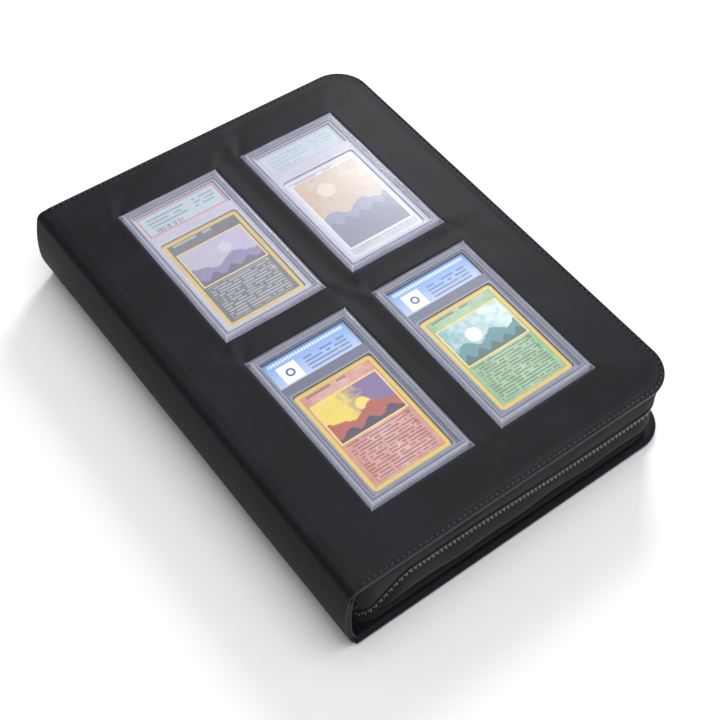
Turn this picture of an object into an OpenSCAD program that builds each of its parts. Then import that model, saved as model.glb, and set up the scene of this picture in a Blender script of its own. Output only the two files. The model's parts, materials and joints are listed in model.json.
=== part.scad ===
// Zipped card binder, closed and lying flat. Two padded covers are joined by a flat spine, and a
// zipped gusset closes the other three sides. Four clear windows in the front cover show cased
// cards, and six pocket leaves are bound to the spine.
// X runs from the spine to the opening edge, Y from the bottom edge to the top edge, Z is up.
// The origin is on the table, under the middle of the four windows. Millimetres.

/* [Covers] */
// Front cover, bottom edge to top edge
front_h = 376.8; // [372:0.2:384]
// Windows' middle to the front cover's opening edge
front_right = 138.6; // [136:0.1:142]
// Back cover, bottom edge to top edge
back_h = 380; // [378:0.5:388]
// Windows' middle to the back cover's opening edge
back_right = 145; // [143:0.5:150]
// Windows' middle to the spine side ends of both covers
cover_left = 135.5; // [134:0.1:136]
// Radius of the two corners at the opening side
corner_r = 26; // [16:1:34]
// Height of the front cover's outer face above the table
top_z = 68; // [66:0.5:74]
// Thickness of the front cover
front_t = 6; // [5.8:0.1:7]
// Thickness of the back cover
back_t = 5.5; // [5:0.1:6]
// Thickness of the leather cloth
skin_t = 0.8; // [0.6:0.1:1]
// Thickness of the lining cloth
lining_t = 0.8; // [0.6:0.1:1]
// Thickness of the stiff boards in the covers and spine
board_t = 2; // [1.8:0.1:2.2]

/* [Spine] */
// Windows' middle to the spine's outer face
spine_out = 142.5; // [142:0.1:144]
// Gap between the spine panel and each hinge line
hinge_gap = 1.5; // [1.2:0.1:2]
// Height of both hinge lines inside their cover, from its outer face
hinge_in = 3; // [2.8:0.1:3.2]
// Thickness of the bar that the leaves are sewn to
binding_t = 5; // [4:0.5:5]

/* [Windows] */
// Width of a window
window_w = 83.7; // [83.4:0.1:86]
// Height of a window
window_h = 140.1; // [139:0.1:143]
// Distance between window middles across the cover
window_pitch_x = 106; // [100:0.5:108]
// Distance between window middles up the cover
window_pitch_y = 161; // [156:0.5:166]
// Thickness of the clear film
film_t = 0.3; // [0.2:0.05:0.4]
// Height that the film stands proud of the cover
film_rise = 3.5; // [3:0.1:4]

/* [Cased cards] */
// Width of a card case
case_w = 81.5; // [80:0.1:81.5]
// Height of a card case
case_h = 136; // [130:0.5:136]
// Thickness of a card case
case_t = 6.3; // [6:0.1:6.4]
// Corner radius of a card case
case_r = 4; // [2:0.5:6]
// Width of a trading card
card_w = 63.5; // [62:0.1:64]
// Height of a trading card
card_h = 88.9; // [88:0.1:89]
// Thickness of a trading card
card_t = 0.35; // [0.3:0.05:0.6]
// Distance of the card's middle below the case's middle
card_drop = 15.5; // [14:0.5:16]
// Width of the paper label
label_w = 68; // [60:0.5:68]
// Height of the paper label
label_h = 23.4; // [18:0.2:24]
// Distance of the label below the case's top end
label_gap = 6.3; // [6.3:0.1:8]

/* [Gusset and zip] */
// Height of the zip's middle line above the table
zip_z = 38; // [36:0.5:40]
// Distance of the zip from the front cover's edges
zip_in = 6; // [5.5:0.1:7]
// Thickness of the gusset cloth
gusset_t = 1; // [0.8:0.1:1.1]
// Thickness of the zip tape
tape_t = 0.6; // [0.5:0.05:0.6]
// Visible width of each zip tape
tape_w = 11.2; // [10:0.2:12]
// Width of one half of the coil
coil_w = 2.3; // [2:0.1:2.4]
// Thickness of the coil
coil_t = 2.4; // [2:0.1:2.4]
// Gap between the two halves of the coil
coil_gap = 1; // [0.9:0.1:1.2]
// Distance of the gusset's ends from the windows' middle, on the spine side
gusset_left = 130; // [128:0.5:131]
// Distance of the upper coil's ends from the windows' middle, on the spine side
upper_coil_left = 106; // [100:0.5:106]

/* [Slider] */
// Length of the slider along the zip
slider_l = 12; // [10:0.5:12]
// Height of the slider across the zip
slider_w = 9.2; // [9:0.1:9.6]
// Distance of the parked slider from the windows' middle, on the spine side
slider_x = 122; // [120:0.5:122]
// Length of the pull tab from its pivot
pull_l = 25; // [18:1:30]
// Width of the pull tab
pull_w = 8; // [7.5:0.5:9]

/* [Leaves] */
// Width of a leaf, from the hinge side to its free edge
leaf_w = 255; // [248:1:258]
// Height of a leaf
leaf_h = 344; // [330:1:346]
// Thickness of a leaf's sheet
leaf_t = 0.8; // [0.5:0.1:1]
// Distance between leaves in the stack
leaf_pitch = 4.2; // [3.5:0.1:4.3]
// Width of a leaf pocket
pocket_w = 104; // [96:1:112]
// Height of a leaf pocket
pocket_h = 160; // [150:1:164]

/* [Hidden] */
$fn = 72;
leaf_count = 6;
window_count = 4;
slip = 0.1;                             // clearance of what lies loose in a cut-out

// Layers of the covers, as heights above the table
front_low = top_z - front_t;
front_board_z = front_low + lining_t;
front_foam_z = front_board_z + board_t;
back_foam_t = back_t - skin_t - board_t - lining_t;
back_board_z = skin_t + back_foam_t;
case_z = top_z + film_rise - film_t - 0.05 - case_t;

// Cases: the flat well inside each one holds the card and the label
case_wall = 5;
case_split_z = case_z + case_t / 2;
well_t = 1.6;
well_z = case_split_z - well_t / 2;
well_w = case_w - 2 * case_wall;
well_h = case_h - 2 * case_wall;
label_y = case_h / 2 - label_gap - label_h / 2;

// Spine
spine_t = skin_t + board_t + 0.4 + lining_t;
spine_low = hinge_in + hinge_gap;
spine_high = top_z - hinge_in - hinge_gap;

// Zip plane: the middle of the tapes, a U in plan
zip_right = front_right - zip_in;
zip_h = front_h - 2 * zip_in;
zip_r = corner_r - zip_in;
zip_y = zip_h / 2;
gusset_overlap = 2;

// Slider
plate_t = 1;
plate_y = coil_t / 2 + 0.4;             // tape middle to the inner face of each plate
flange = 1;
slot_t = 1.3;                           // slot that the tape runs in
neck_t = 0.4;
pivot_y = plate_y + plate_t + 1;        // tape middle to the pull's pivot
pull_t = 0.9;
pin_r = 0.6;
bridge_w = 4;

// Leaves
leaf_left = 131.3;                      // windows' middle to the leaves' hinge side
leaf_z = 8;                             // middle of the lowest leaf
pocket_pitch_x = 118;
pocket_pitch_y = 168;
pocket_weld = 3;
pocket_film_t = 0.35;
pocket_rise = 0.5;
binding_low = 6;

leather = [0.16, 0.16, 0.18];
cloth = [0.12, 0.12, 0.13];
clear = [0.82, 0.85, 0.95, 0.35];
card_colors = [[0.85, 0.75, 0.25], [0.92, 0.9, 0.86], [0.85, 0.42, 0.3], [0.45, 0.7, 0.35]];
label_colors = [[0.9, 0.85, 0.88], [0.9, 0.85, 0.88], [0.3, 0.45, 0.75], [0.3, 0.45, 0.75]];

CASE_PARTS = ["front_shell", "back_shell", "inner_frame", "label", "card"];

// Plan shapes

// A rectangle with round corners, centred
module round_rect(w, h, r) {
    square([w - 2 * r, h], center = true);
    square([w, h - 2 * r], center = true);
    for (x = [-1, 1], y = [-1, 1]) translate([x * (w / 2 - r), y * (h / 2 - r)]) circle(r);
}

// A cover's outline: square at the spine side, round corners at the opening side
module cover_outline(left, right, h, r) {
    translate([-left, -h / 2]) square([left + right - r, h]);
    translate([right - r, r - h / 2]) square([r, h - 2 * r]);
    for (y = [-1, 1]) translate([right - r, y * (h / 2 - r)]) circle(r);
}

// A band of thickness t round three sides, its outer face lying out beyond the zip plane
module zip_band(out, t, left = gusset_left) {
    difference() {
        cover_outline(left, zip_right + out, zip_h + 2 * out, zip_r + out);
        cover_outline(left + 1, zip_right + out - t, zip_h + 2 * (out - t), zip_r + out - t);
    }
}

// Children at the middle of window n: 1 and 2 are the upper pair, 1 and 3 the spine side pair
module at_window(n) {
    x = (n % 2 == 1 ? -1 : 1) * window_pitch_x / 2;
    y = (n <= 2 ? 1 : -1) * window_pitch_y / 2;
    translate([x, y, 0]) children();
}

module at_windows() {
    for (n = [1:window_count]) at_window(n) children();
}

module slab(z, t) {
    translate([0, 0, z]) linear_extrude(t) children();
}

// Back cover

module back_outline(inset = 0) {
    cover_outline(cover_left - inset, back_right - inset, back_h - 2 * inset, corner_r - inset);
}

module back_leather() {
    color(leather) difference() {
        slab(0, back_t) back_outline();
        slab(skin_t, back_t) back_outline(skin_t);
    }
}

module back_foam() {
    color("dimgray") slab(skin_t, back_foam_t) back_outline(skin_t);
}

module back_board() {
    color("gray") slab(back_board_z, board_t) back_outline(skin_t);
}

module back_lining() {
    color(cloth) slab(back_board_z + board_t, lining_t) back_outline(skin_t);
}

// Gusset and zip, lower half on the back cover and upper half on the front cover

module gusset_lower() {
    high = zip_z - coil_gap / 2 - coil_w - tape_w + gusset_overlap;
    color(cloth) slab(back_t, high - back_t) zip_band(tape_t / 2 + gusset_t, gusset_t);
}

module zip_tape_lower() {
    color(cloth) slab(zip_z - coil_gap / 2 - coil_w - tape_w, tape_w) zip_band(tape_t / 2, tape_t);
}

module zip_coil_lower() {
    color("black") slab(zip_z - coil_gap / 2 - coil_w, coil_w) zip_band(coil_t / 2, coil_t);
}

module gusset_upper() {
    low = zip_z + coil_gap / 2 + coil_w + tape_w - gusset_overlap;
    color(cloth) slab(low, front_low - low) zip_band(tape_t / 2 + gusset_t, gusset_t);
}

module zip_tape_upper() {
    color(cloth) slab(zip_z + coil_gap / 2 + coil_w, tape_w) zip_band(tape_t / 2, tape_t);
}

module zip_coil_upper() {
    color("black") slab(zip_z + coil_gap / 2, coil_w) zip_band(coil_t / 2, coil_t, upper_coil_left);
}

// A small block at each end of the lower coil, where the zip ends
module zip_stops() {
    color("dimgray") for (side = [-1, 1])
        translate([-gusset_left - 1, side * zip_y, zip_z - coil_gap / 2 - coil_w / 2])
            cube([2, 3, 3.4], center = true);
}

// Spine

module spine_layer(from, t, inset = 0) {
    translate([from - spine_out, inset - front_h / 2, spine_low + inset])
        cube([t, front_h - 2 * inset, spine_high - spine_low - 2 * inset]);
}

module spine_leather() {
    color(leather) difference() {
        spine_layer(0, spine_t);
        spine_layer(skin_t, spine_t, skin_t);
    }
}

module spine_board() {
    color("gray") spine_layer(skin_t, spine_t - skin_t - lining_t, skin_t);
}

module spine_lining() {
    color(cloth) spine_layer(spine_t - lining_t, lining_t, skin_t);
}

// The bar that the leaves are sewn to, on the spine's inner face
module leaf_binding() {
    high = leaf_z + (leaf_count - 1) * leaf_pitch + 2;
    color(cloth) translate([spine_t - spine_out, -leaf_h / 2, binding_low])
        cube([binding_t, leaf_h, high - binding_low]);
}

// Front cover

module front_outline(inset = 0) {
    cover_outline(cover_left - inset, front_right - inset, front_h - 2 * inset, corner_r - inset);
}

module window_holes() {
    at_windows() square([window_w, window_h], center = true);
}

module front_leather() {
    color(leather) difference() {
        slab(front_low, front_t) front_outline();
        slab(front_low - 1, front_t - skin_t + 1) front_outline(skin_t);
        slab(front_low, 2 * front_t) window_holes();
    }
}

module front_foam() {
    color("dimgray") slab(front_foam_z, top_z - skin_t - front_foam_z) difference() {
        front_outline(skin_t);
        window_holes();
    }
}

module front_board() {
    color("gray") slab(front_board_z, board_t) difference() {
        front_outline(skin_t);
        window_holes();
    }
}

// The lining has a long slit beside each window, through which a case is slipped in
module front_lining() {
    color(cloth) slab(front_low, lining_t) difference() {
        front_outline(skin_t);
        at_windows() translate([window_w / 2 - 3, 0]) square([1.2, window_h - 4], center = true);
    }
}

// The back wall of each window pocket, which the case rests on
module pocket_backs() {
    color(cloth) at_windows() slab(front_board_z, case_z - front_board_z)
        square([window_w - 2 * slip, window_h - 2 * slip], center = true);
}

// A tent of film: a skirt in the window's edge, then sloping sides up to the case's top
module window_film(n) {
    module tent(grow, low, high) {
        hull() {
            slab(low, 0.01)
                square([window_w - 2 * film_t + grow, window_h - 2 * film_t + grow], center = true);
            slab(high - 0.01, 0.01) square([case_w + 0.2 + grow, case_h + 0.2 + grow], center = true);
        }
    }
    color(clear) at_window(n) {
        difference() {
            tent(2 * film_t, top_z, top_z + film_rise);
            tent(0, top_z - 0.005, top_z + film_rise - film_t);
        }
        slab(top_z - skin_t, skin_t) difference() {
            square([window_w, window_h], center = true);
            square([window_w - 2 * film_t, window_h - 2 * film_t], center = true);
        }
    }
}

// Cased cards

module case_well(grow = 0) {
    square([well_w + grow, well_h + grow], center = true);
}

module case_front_shell(n) {
    color(clear) at_window(n) difference() {
        slab(case_split_z, case_t / 2) round_rect(case_w, case_h, case_r);
        slab(case_split_z - well_t, 1.5 * well_t) case_well();
    }
}

module case_back_shell(n) {
    color(clear) at_window(n) difference() {
        slab(case_z, case_t / 2) round_rect(case_w, case_h, case_r);
        slab(well_z, well_t) case_well();
    }
}

// The soft frame that keeps the card and the label in place
module case_inner_frame(n) {
    color("white") at_window(n) slab(well_z, well_t) difference() {
        case_well(-2 * slip);
        translate([0, -card_drop]) round_rect(card_w + 0.6, card_h + 0.6, 3);
        translate([0, label_y]) square([label_w + 0.6, label_h + 0.6], center = true);
    }
}

module case_label(n) {
    color(label_colors[n - 1]) at_window(n) slab(well_z, 0.3)
        translate([0, label_y]) square([label_w, label_h], center = true);
}

module case_card(n) {
    color(card_colors[n - 1]) at_window(n) slab(well_z, card_t)
        translate([0, -card_drop]) round_rect(card_w, card_h, 3);
}

// Leaves

function leaf_low(n) = leaf_z + (n - 1) * leaf_pitch - leaf_t / 2;

module leaf_sheet(n) {
    color(cloth) slab(leaf_low(n), leaf_t)
        cover_outline(leaf_left, leaf_w - leaf_left, leaf_h, 8);
}

// Four clear films welded to the sheet on three sides, each open at its upper edge
module leaf_pockets(n) {
    middle_x = leaf_w / 2 - leaf_left + 1;
    color(clear) for (x = [-1, 1], y = [-1, 1])
        translate([middle_x + x * pocket_pitch_x / 2, y * pocket_pitch_y / 2, leaf_low(n) + leaf_t])
            difference() {
                slab(0, pocket_rise + pocket_film_t) square([pocket_w, pocket_h], center = true);
                translate([pocket_weld - pocket_w / 2, pocket_weld - pocket_h / 2, 0])
                    cube([pocket_w - 2 * pocket_weld, pocket_h, pocket_rise]);
            }
}

// Slider, parked at the spine end of the far side, its parts placed from the zip's middle line

module at_slider() {
    translate([-slider_x, zip_y, zip_z]) children();
}

module slider_plate() {
    rotate([90, 0, 0]) linear_extrude(plate_t, center = true) round_rect(slider_l, slider_w, 2.5);
}

module slider_body() {
    color("dimgray") at_slider() {
        for (side = [-1, 1]) {
            translate([0, side * (plate_y + plate_t / 2), 0]) slider_plate();
            for (edge = [-1, 1])
                translate([0, side * (plate_y + slot_t / 2) / 2, edge * (slider_w - flange) / 2])
                    cube([slider_l - 5, plate_y - slot_t / 2, flange], center = true);
        }
        translate([1.5 - slider_l / 2, 0, 0]) cube([2, 2 * plate_y + 0.2, neck_t], center = true);
        translate([0, plate_y + plate_t, 0]) slider_bridge();
    }
}

// An arch on the outer plate, open from side to side for the pull's cross bar
module slider_bridge() {
    translate([0, 1.45, 0]) difference() {
        cube([6.4, 3.1, bridge_w], center = true);
        translate([0, -0.5, 0]) cube([4, 2.2, bridge_w + 1], center = true);
    }
}

// A flat tab with an eye at its pivot end, whose cross bar lies under the bridge
module slider_pull() {
    eye_l = 5.5;
    color("dimgray") at_slider() translate([0, pivot_y, 0]) {
        cylinder(h = pull_w - 1, r = pin_r, center = true);
        rotate([90, 0, 0]) linear_extrude(pull_t, center = true) difference() {
            union() {
                translate([pull_l / 2 + 1, 0]) round_rect(pull_l - 2, pull_w, 2);
                for (side = [-1, 1]) translate([1.5, side * (pull_w / 2 - 0.75)])
                    square([3, 1.5], center = true);
            }
            translate([eye_l / 2 + pin_r - 0.1, 0]) square([eye_l, pull_w - 3], center = true);
            translate([pull_l - 3.5, 0]) circle(1.6);
        }
    }
}

back_leather();
back_foam();
back_board();
back_lining();
gusset_lower();
zip_tape_lower();
zip_coil_lower();
zip_stops();
spine_leather();
spine_board();
spine_lining();
leaf_binding();
front_leather();
front_foam();
front_board();
front_lining();
pocket_backs();
gusset_upper();
zip_tape_upper();
zip_coil_upper();
for (n = [1:window_count]) {
    window_film(n);
    case_front_shell(n);
    case_back_shell(n);
    case_inner_frame(n);
    case_label(n);
    case_card(n);
}
for (n = [1:leaf_count]) {
    leaf_sheet(n);
    leaf_pockets(n);
}
slider_body();
slider_pull();
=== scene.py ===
import json
import math

import bmesh
import bpy
import numpy as np
from bpy.props import FloatProperty, FloatVectorProperty, IntProperty, PointerProperty
from mathutils import Matrix, Vector


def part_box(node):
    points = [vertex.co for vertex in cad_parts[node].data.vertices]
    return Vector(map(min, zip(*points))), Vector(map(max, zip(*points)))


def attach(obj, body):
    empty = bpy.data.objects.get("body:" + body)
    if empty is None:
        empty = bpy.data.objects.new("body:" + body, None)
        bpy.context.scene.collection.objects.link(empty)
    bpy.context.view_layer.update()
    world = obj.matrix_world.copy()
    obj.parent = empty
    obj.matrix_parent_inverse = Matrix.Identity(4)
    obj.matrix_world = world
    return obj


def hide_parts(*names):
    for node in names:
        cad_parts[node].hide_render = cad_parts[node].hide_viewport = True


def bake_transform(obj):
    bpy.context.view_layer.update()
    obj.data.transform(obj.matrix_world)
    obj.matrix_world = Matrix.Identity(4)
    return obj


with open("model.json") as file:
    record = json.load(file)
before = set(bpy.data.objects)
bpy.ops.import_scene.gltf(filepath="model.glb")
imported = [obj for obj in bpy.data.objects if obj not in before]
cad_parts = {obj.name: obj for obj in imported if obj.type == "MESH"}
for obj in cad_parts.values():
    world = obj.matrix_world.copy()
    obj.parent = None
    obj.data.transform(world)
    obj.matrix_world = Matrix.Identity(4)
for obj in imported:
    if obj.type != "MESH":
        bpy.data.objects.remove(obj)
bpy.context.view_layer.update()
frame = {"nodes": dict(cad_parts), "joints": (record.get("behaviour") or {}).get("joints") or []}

bl_info = {
    "name": "Zipped card binder",
    "version": (1, 0, 0),
    "blender": (4, 5, 0),
    "location": "3D View > Sidebar > Binder",
    "description": "Makes a padded zip binder with four windows, cased cards and pocket leaves",
    "category": "Add Mesh",
}

MM = 0.001


# ---------------------------------------------------------------- places, from the frame

def extent(node):
    """The lowest and highest corner of a CAD node, as two arrays."""
    low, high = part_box(node)
    return np.array(low), np.array(high)


FRONT_LOW, FRONT_HIGH = extent("front_leather")
BACK_LOW, BACK_HIGH = extent("back_leather")
LEFT = FRONT_LOW[0]
RIGHT, HALF, TOP = FRONT_HIGH
WINDOWS = {n: extent(f"window_film_{n}") for n in (1, 2, 3, 4)}
CASES = {n: (extent(f"case_{n}_back_shell")[0], extent(f"case_{n}_front_shell")[1]) for n in WINDOWS}
CARDS, LABELS = ({n: extent(f"case_{n}_{part}") for n in WINDOWS} for part in ("card", "label"))
LEAF_COUNT = 6
TAPE_HALF = 0.3 * MM
ZIP_RIGHT, ZIP_Y = extent("zip_tape_upper")[1][:2] - TAPE_HALF
ZIP_Z = (extent("zip_coil_lower")[1][2] + extent("zip_coil_upper")[0][2]) / 2
SLIDER_X = sum(extent("slider_body"))[0] / 2
PIVOT = next(np.array(joint["pos_m"]) for joint in frame["joints"] if joint["name"] == "pull_swing")


# ---------------------------------------------------------------- what a user may change

def length(name, text, millimetres):
    """A size in metres, given in millimetres."""
    return FloatProperty(name=name, description=text, default=millimetres * MM, unit="LENGTH", precision=5)


def colour(name, text, *rgb):
    """A colour picker in linear red, green and blue."""
    return FloatVectorProperty(name=name, description=text, default=rgb, subtype="COLOR", size=3, min=0, max=1)


class BinderSizes(bpy.types.PropertyGroup):
    corner: length("Corner radius", "Radius of the covers' corners at the opening side", 26)
    edge_roll: length("Edge roll", "Radius at which the leather rolls over the covers' edges", 1.3)
    mesh_step: length("Mesh step", "Distance between mesh lines on the front cover", 2.1)
    stitch_inset: length("Stitch inset", "Distance of the stitches from the cover's edge", 2.4)
    stitch_pitch: length("Stitch pitch", "Distance from one stitch to the next", 4.4)
    stitch_dip: length("Stitch dip", "Depth to which the stitches pull the leather in", 0.45)
    window_lift: length("Window lift", "Height to which the leather is pushed up beside a window", 1.3)
    crease: length("Crease depth", "Depth of the creases that start at the window corners", 0.75)
    case_bevel: length("Case bevel", "Width of the slope at a card case's upper edge", 1.9)
    spine_bow: length("Spine bow", "Distance by which the spine bows out", 3.0)
    tooth_pitch: length("Tooth pitch", "Distance from one turn of the zip's coil to the next", 1.75)
    tape_width: length("Tape width", "Width of the zip tape that shows on each side", 7.5)
    chain_wave: length("Chain wave", "Height of the zip's wave along the bottom edge", 3.4)
    seed: IntProperty(name="Seed", description="Seed of the small random differences", default=11)


class BinderColours(bpy.types.PropertyGroup):
    leather: colour("Leather", "Black leather cloth", 0.0048, 0.0048, 0.0061)
    cloth: colour("Gusset cloth", "Ribbed cloth of the gusset and the tapes", 0.0064, 0.0058, 0.0068)
    lining: colour("Lining", "Plain cloth inside the covers", 0.016, 0.016, 0.018)
    thread: colour("Thread", "Sewing thread", 0.013, 0.013, 0.021)
    coil: colour("Coil", "Nylon coil of the zip", 0.20, 0.20, 0.20)
    metal: colour("Slider", "Enamel of the slider and its pull", 0.020, 0.020, 0.022)
    film: colour("Film", "Clear window film", 0.52, 0.52, 0.72)
    plastic: colour("Case plastic", "Clear hard plastic of the card cases", 0.40, 0.42, 0.50)
    yellow: colour("Yellow border", "Border of three of the cards", 0.74, 0.53, 0.11)
    label_red: colour("Label red", "Border of the upper labels", 0.72, 0.16, 0.20)
    label_blue: colour("Label blue", "Ground of the lower labels", 0.14, 0.33, 0.72)


def sizes():
    return bpy.context.scene.binder_sizes


def colours():
    return bpy.context.scene.binder_colours


# ---------------------------------------------------------------- shader maths

class Value:
    """A socket that takes part in Python expressions: each operator adds the Math node that it names."""

    def __init__(self, paint, socket):
        self.paint, self.socket = paint, socket

    def math(self, operation, *others, clamp=False):
        inputs = {0: self}
        inputs.update({i + 1: other for i, other in enumerate(others)})
        return self.paint.add("ShaderNodeMath", inputs, operation=operation, use_clamp=clamp)

    def __add__(self, other): return self.math("ADD", other)
    def __radd__(self, other): return self.math("ADD", other)
    def __sub__(self, other): return self.math("SUBTRACT", other)
    def __rsub__(self, other): return self * -1 + other
    def __mul__(self, other): return self.math("MULTIPLY", other)
    def __rmul__(self, other): return self.math("MULTIPLY", other)
    def __truediv__(self, other): return self.math("DIVIDE", other)
    def __abs__(self): return self.math("ABSOLUTE")
    def __mod__(self, other): return self.math("FLOORED_MODULO", other)

    def sin(self): return self.math("SINE")
    def floor(self): return self.math("FLOOR")
    def clamp(self): return self.math("ADD", 0.0, clamp=True)
    def over(self, level, soft): return ((self - level) / soft + 0.5).clamp()


class Paint:
    """One material: its node tree, the sockets that it reads from and one method that adds any node."""

    def __init__(self, name, **constants):
        self.material = bpy.data.materials.new(name)
        self.material.use_nodes = True
        self.tree = self.material.node_tree
        self.shader = self.tree.nodes["Principled BSDF"]
        self.set(**constants)

    def add(self, kind, inputs=None, output=0, **settings):
        """Adds a node, sets its settings, links or sets its inputs and gives the output as a Value."""
        node = self.tree.nodes.new(kind)
        for name, value in settings.items():
            setattr(node, name, value)
        for name, value in (inputs or {}).items():
            self.feed(node.inputs[name], value)
        return Value(self, node.outputs[output])

    def feed(self, socket, value):
        if isinstance(value, Value):
            self.tree.links.new(value.socket, socket)
        elif socket.type == "RGBA" and len(value) == 3:
            socket.default_value = (*value, 1.0)
        else:
            socket.default_value = value

    def set(self, **inputs):
        for name, value in inputs.items():
            self.feed(self.shader.inputs[name.replace("_", " ")], value)

    def place(self, centre=(0, 0, 0)):
        """x, y and z of the Object coordinates, counted from a centre."""
        source = self.add("ShaderNodeTexCoord", output="Object")
        moved = self.add("ShaderNodeMapping", {"Vector": source, "Location": tuple(-c for c in centre)})
        split = self.add("ShaderNodeSeparateXYZ", {0: moved})
        outputs = split.socket.node.outputs
        return moved, Value(self, outputs[0]), Value(self, outputs[1]), Value(self, outputs[2])

    def own(self):
        """u and v of the piece's own map, which is in metres along and across it."""
        source = self.add("ShaderNodeUVMap", uv_map="metres")
        split = self.add("ShaderNodeSeparateXYZ", {0: source})
        outputs = split.socket.node.outputs
        return source, Value(self, outputs[0]), Value(self, outputs[1])

    def centred(self, box):
        """The Object coordinates counted from the middle of a box, their x and y, and half the box's size."""
        low, high = box
        place, x, y, _ = self.place((low + high) / 2)
        return place, x, y, (high - low) / 2

    def noise(self, vector, size, detail=3.0, roughness=0.55, distortion=0.0):
        """Noise from 0 to 1 whose features are about size metres across."""
        return self.add("ShaderNodeTexNoise", {"Vector": vector, "Scale": 1.0 / size, "Detail": detail,
                                               "Roughness": roughness, "Distortion": distortion})

    def cells(self, x, y):
        """A different random number from 0 to 1 for each whole x and y."""
        corner = self.add("ShaderNodeCombineXYZ", {0: x.floor(), 1: y.floor()})
        return self.add("ShaderNodeTexWhiteNoise", {"Vector": corner}, noise_dimensions="2D")

    def mix(self, mask, first, second):
        """The first colour where the mask is 0 and the second where it is 1."""
        node = self.add("ShaderNodeMix", data_type="RGBA").socket.node
        self.feed(node.inputs[0], mask)
        self.feed(node.inputs[6], first)
        self.feed(node.inputs[7], second)
        return Value(self, node.outputs[2])

    def bump(self, height, depth, strength=1.0):
        """Bump from a height of 0 to 1 that stands for depth metres."""
        self.set(Normal=self.add("ShaderNodeBump", {"Height": height, "Distance": depth, "Strength": strength}))


def box_mask(x, y, half_w, half_h, soft=0.25 * MM):
    """1 inside a rectangle round the origin, 0 outside, with soft edges."""
    return ((half_w - abs(x)) / soft + 0.5).clamp() * ((half_h - abs(y)) / soft + 0.5).clamp()


def ring_mask(x, y, half_w, half_h, width, soft=0.25 * MM):
    """1 on the frame between a rectangle and the same rectangle drawn in by width."""
    return box_mask(x, y, half_w, half_h, soft) - box_mask(x, y, half_w - width, half_h - width, soft)


def inset_ring(x, y, half, inset, width, soft=0.25 * MM):
    """1 on a frame that lies a distance inside the edge of a rectangle with half sizes half."""
    return ring_mask(x, y, half[0] - inset, half[1] - inset, width, soft)


def disc_mask(x, y, radius, soft=0.3 * MM):
    """1 inside a circle round the origin: the distance is the root of x squared plus y squared."""
    return ((radius - (x * x + y * y).math("SQRT")) / soft + 0.5).clamp()


def word_mask(paint, x, y, pitch, letters=1.3 * MM, fill=0.72):
    """Rows of short bars in place of words: stripes in y, broken where a cell's random number is high."""
    stripe = ((y / pitch) % 1.0 - 0.5).math("ABSOLUTE")
    row = (0.24 - stripe) / 0.08
    word = paint.cells(x / (2.6 * letters), y / pitch)
    mark = ((x / letters) % 1.0).over(0.18, 0.1)
    return (row + 0.5).clamp() * (1.0 - word.over(fill, 0.02)) * mark


# ---------------------------------------------------------------- materials

def leather_material():
    """Fine crossed grain: the product of two sine rows at right angles, bent by noise, over soft mottling. A mesh
    attribute paints a highlight: it lightens the edges that the leather is folded over."""
    paint = Paint("binder leather", Roughness=0.5, Specular_IOR_Level=0.14)
    place, x, y, z = paint.place()
    drift = paint.noise(place, 9 * MM, 2.0)
    grain = 2 * math.pi / (0.95 * MM)
    warp = drift * 5.0
    level = x + z
    rows = (level * grain + warp).sin() * 0.5 + 0.5
    lines = ((y + z * 0.6) * grain * 0.82 + warp * 0.7).sin() * 0.5 + 0.5
    fine = paint.noise(place, 0.45 * MM, 2.0)
    grain_height = rows * 0.55 + lines * 0.3 + fine * 0.5
    mottle = paint.noise(place, 30 * MM, 4.0)
    scuff = paint.noise(place, 3.2 * MM, 6.0, 0.7, 1.2).over(0.68, 0.1)
    # painted highlight: this attribute marks the rolled edges of the leather, where light catches them
    wear_and_highlight = paint.add("ShaderNodeAttribute", output="Fac", attribute_name="wear_and_highlight")
    # painted shade: this mask marks the spine, left of the front cover
    spine = ((LEFT - 2 * MM - x) / (3 * MM) + 0.5).clamp()
    base = np.array(colours().leather) * 0.8
    blue = base * (1.3, 1.2, 2.1)
    body = paint.mix(mottle.over(0.5, 0.22), base * (0.9, 0.95, 0.9), blue)
    body = paint.mix(rows * lines * 0.8, body, base * 3.0 + 0.003)
    # painted shade: the spine's leather is darkened and made less blue
    body = paint.mix(spine * 0.75, body, base * (0.72, 0.70, 0.60))
    body = paint.mix(scuff * 0.06, body, (0.16, 0.16, 0.17))
    # painted highlight: the rolled edges are mixed towards a pale blue grey
    paint.set(Base_Color=paint.mix(wear_and_highlight * (fine * 0.5 + 0.6), body, (0.075, 0.078, 0.098)))
    paint.set(Roughness=0.47 + fine * 0.12 + scuff * 0.1 - rows * 0.05 + spine * 0.1)
    paint.bump(grain_height, 0.09 * MM, 0.85)
    return paint.material


def cloth_material(name, base, rib, depth):
    """Ribbed cloth on the piece's own map: ribs run along it and each is crossed by threads."""
    paint = Paint(name, Roughness=0.86, Specular_IOR_Level=0.2, Sheen_Weight=0.08, Sheen_Roughness=0.5)
    source, u, v = paint.own()
    turn = 2 * math.pi / rib
    ribs = (v * turn).sin() * 0.5 + 0.5
    threads = (u * turn * 1.7 + (v * turn * 0.5).sin() * 2.2).sin() * 0.5 + 0.5
    fluff = paint.noise(source, 2.4 * MM, 5.0, 0.7)
    body = paint.mix(ribs * 0.6 + threads * 0.25, base * 0.55, base * 1.55)
    paint.set(Base_Color=paint.mix(fluff.over(0.62, 0.3) * 0.35, body, base * 2.0 + 0.002))
    paint.set(Roughness=0.78 + fluff * 0.2)
    paint.bump(ribs * 0.7 + threads * 0.3, depth * MM, 0.8)
    return paint.material


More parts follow.
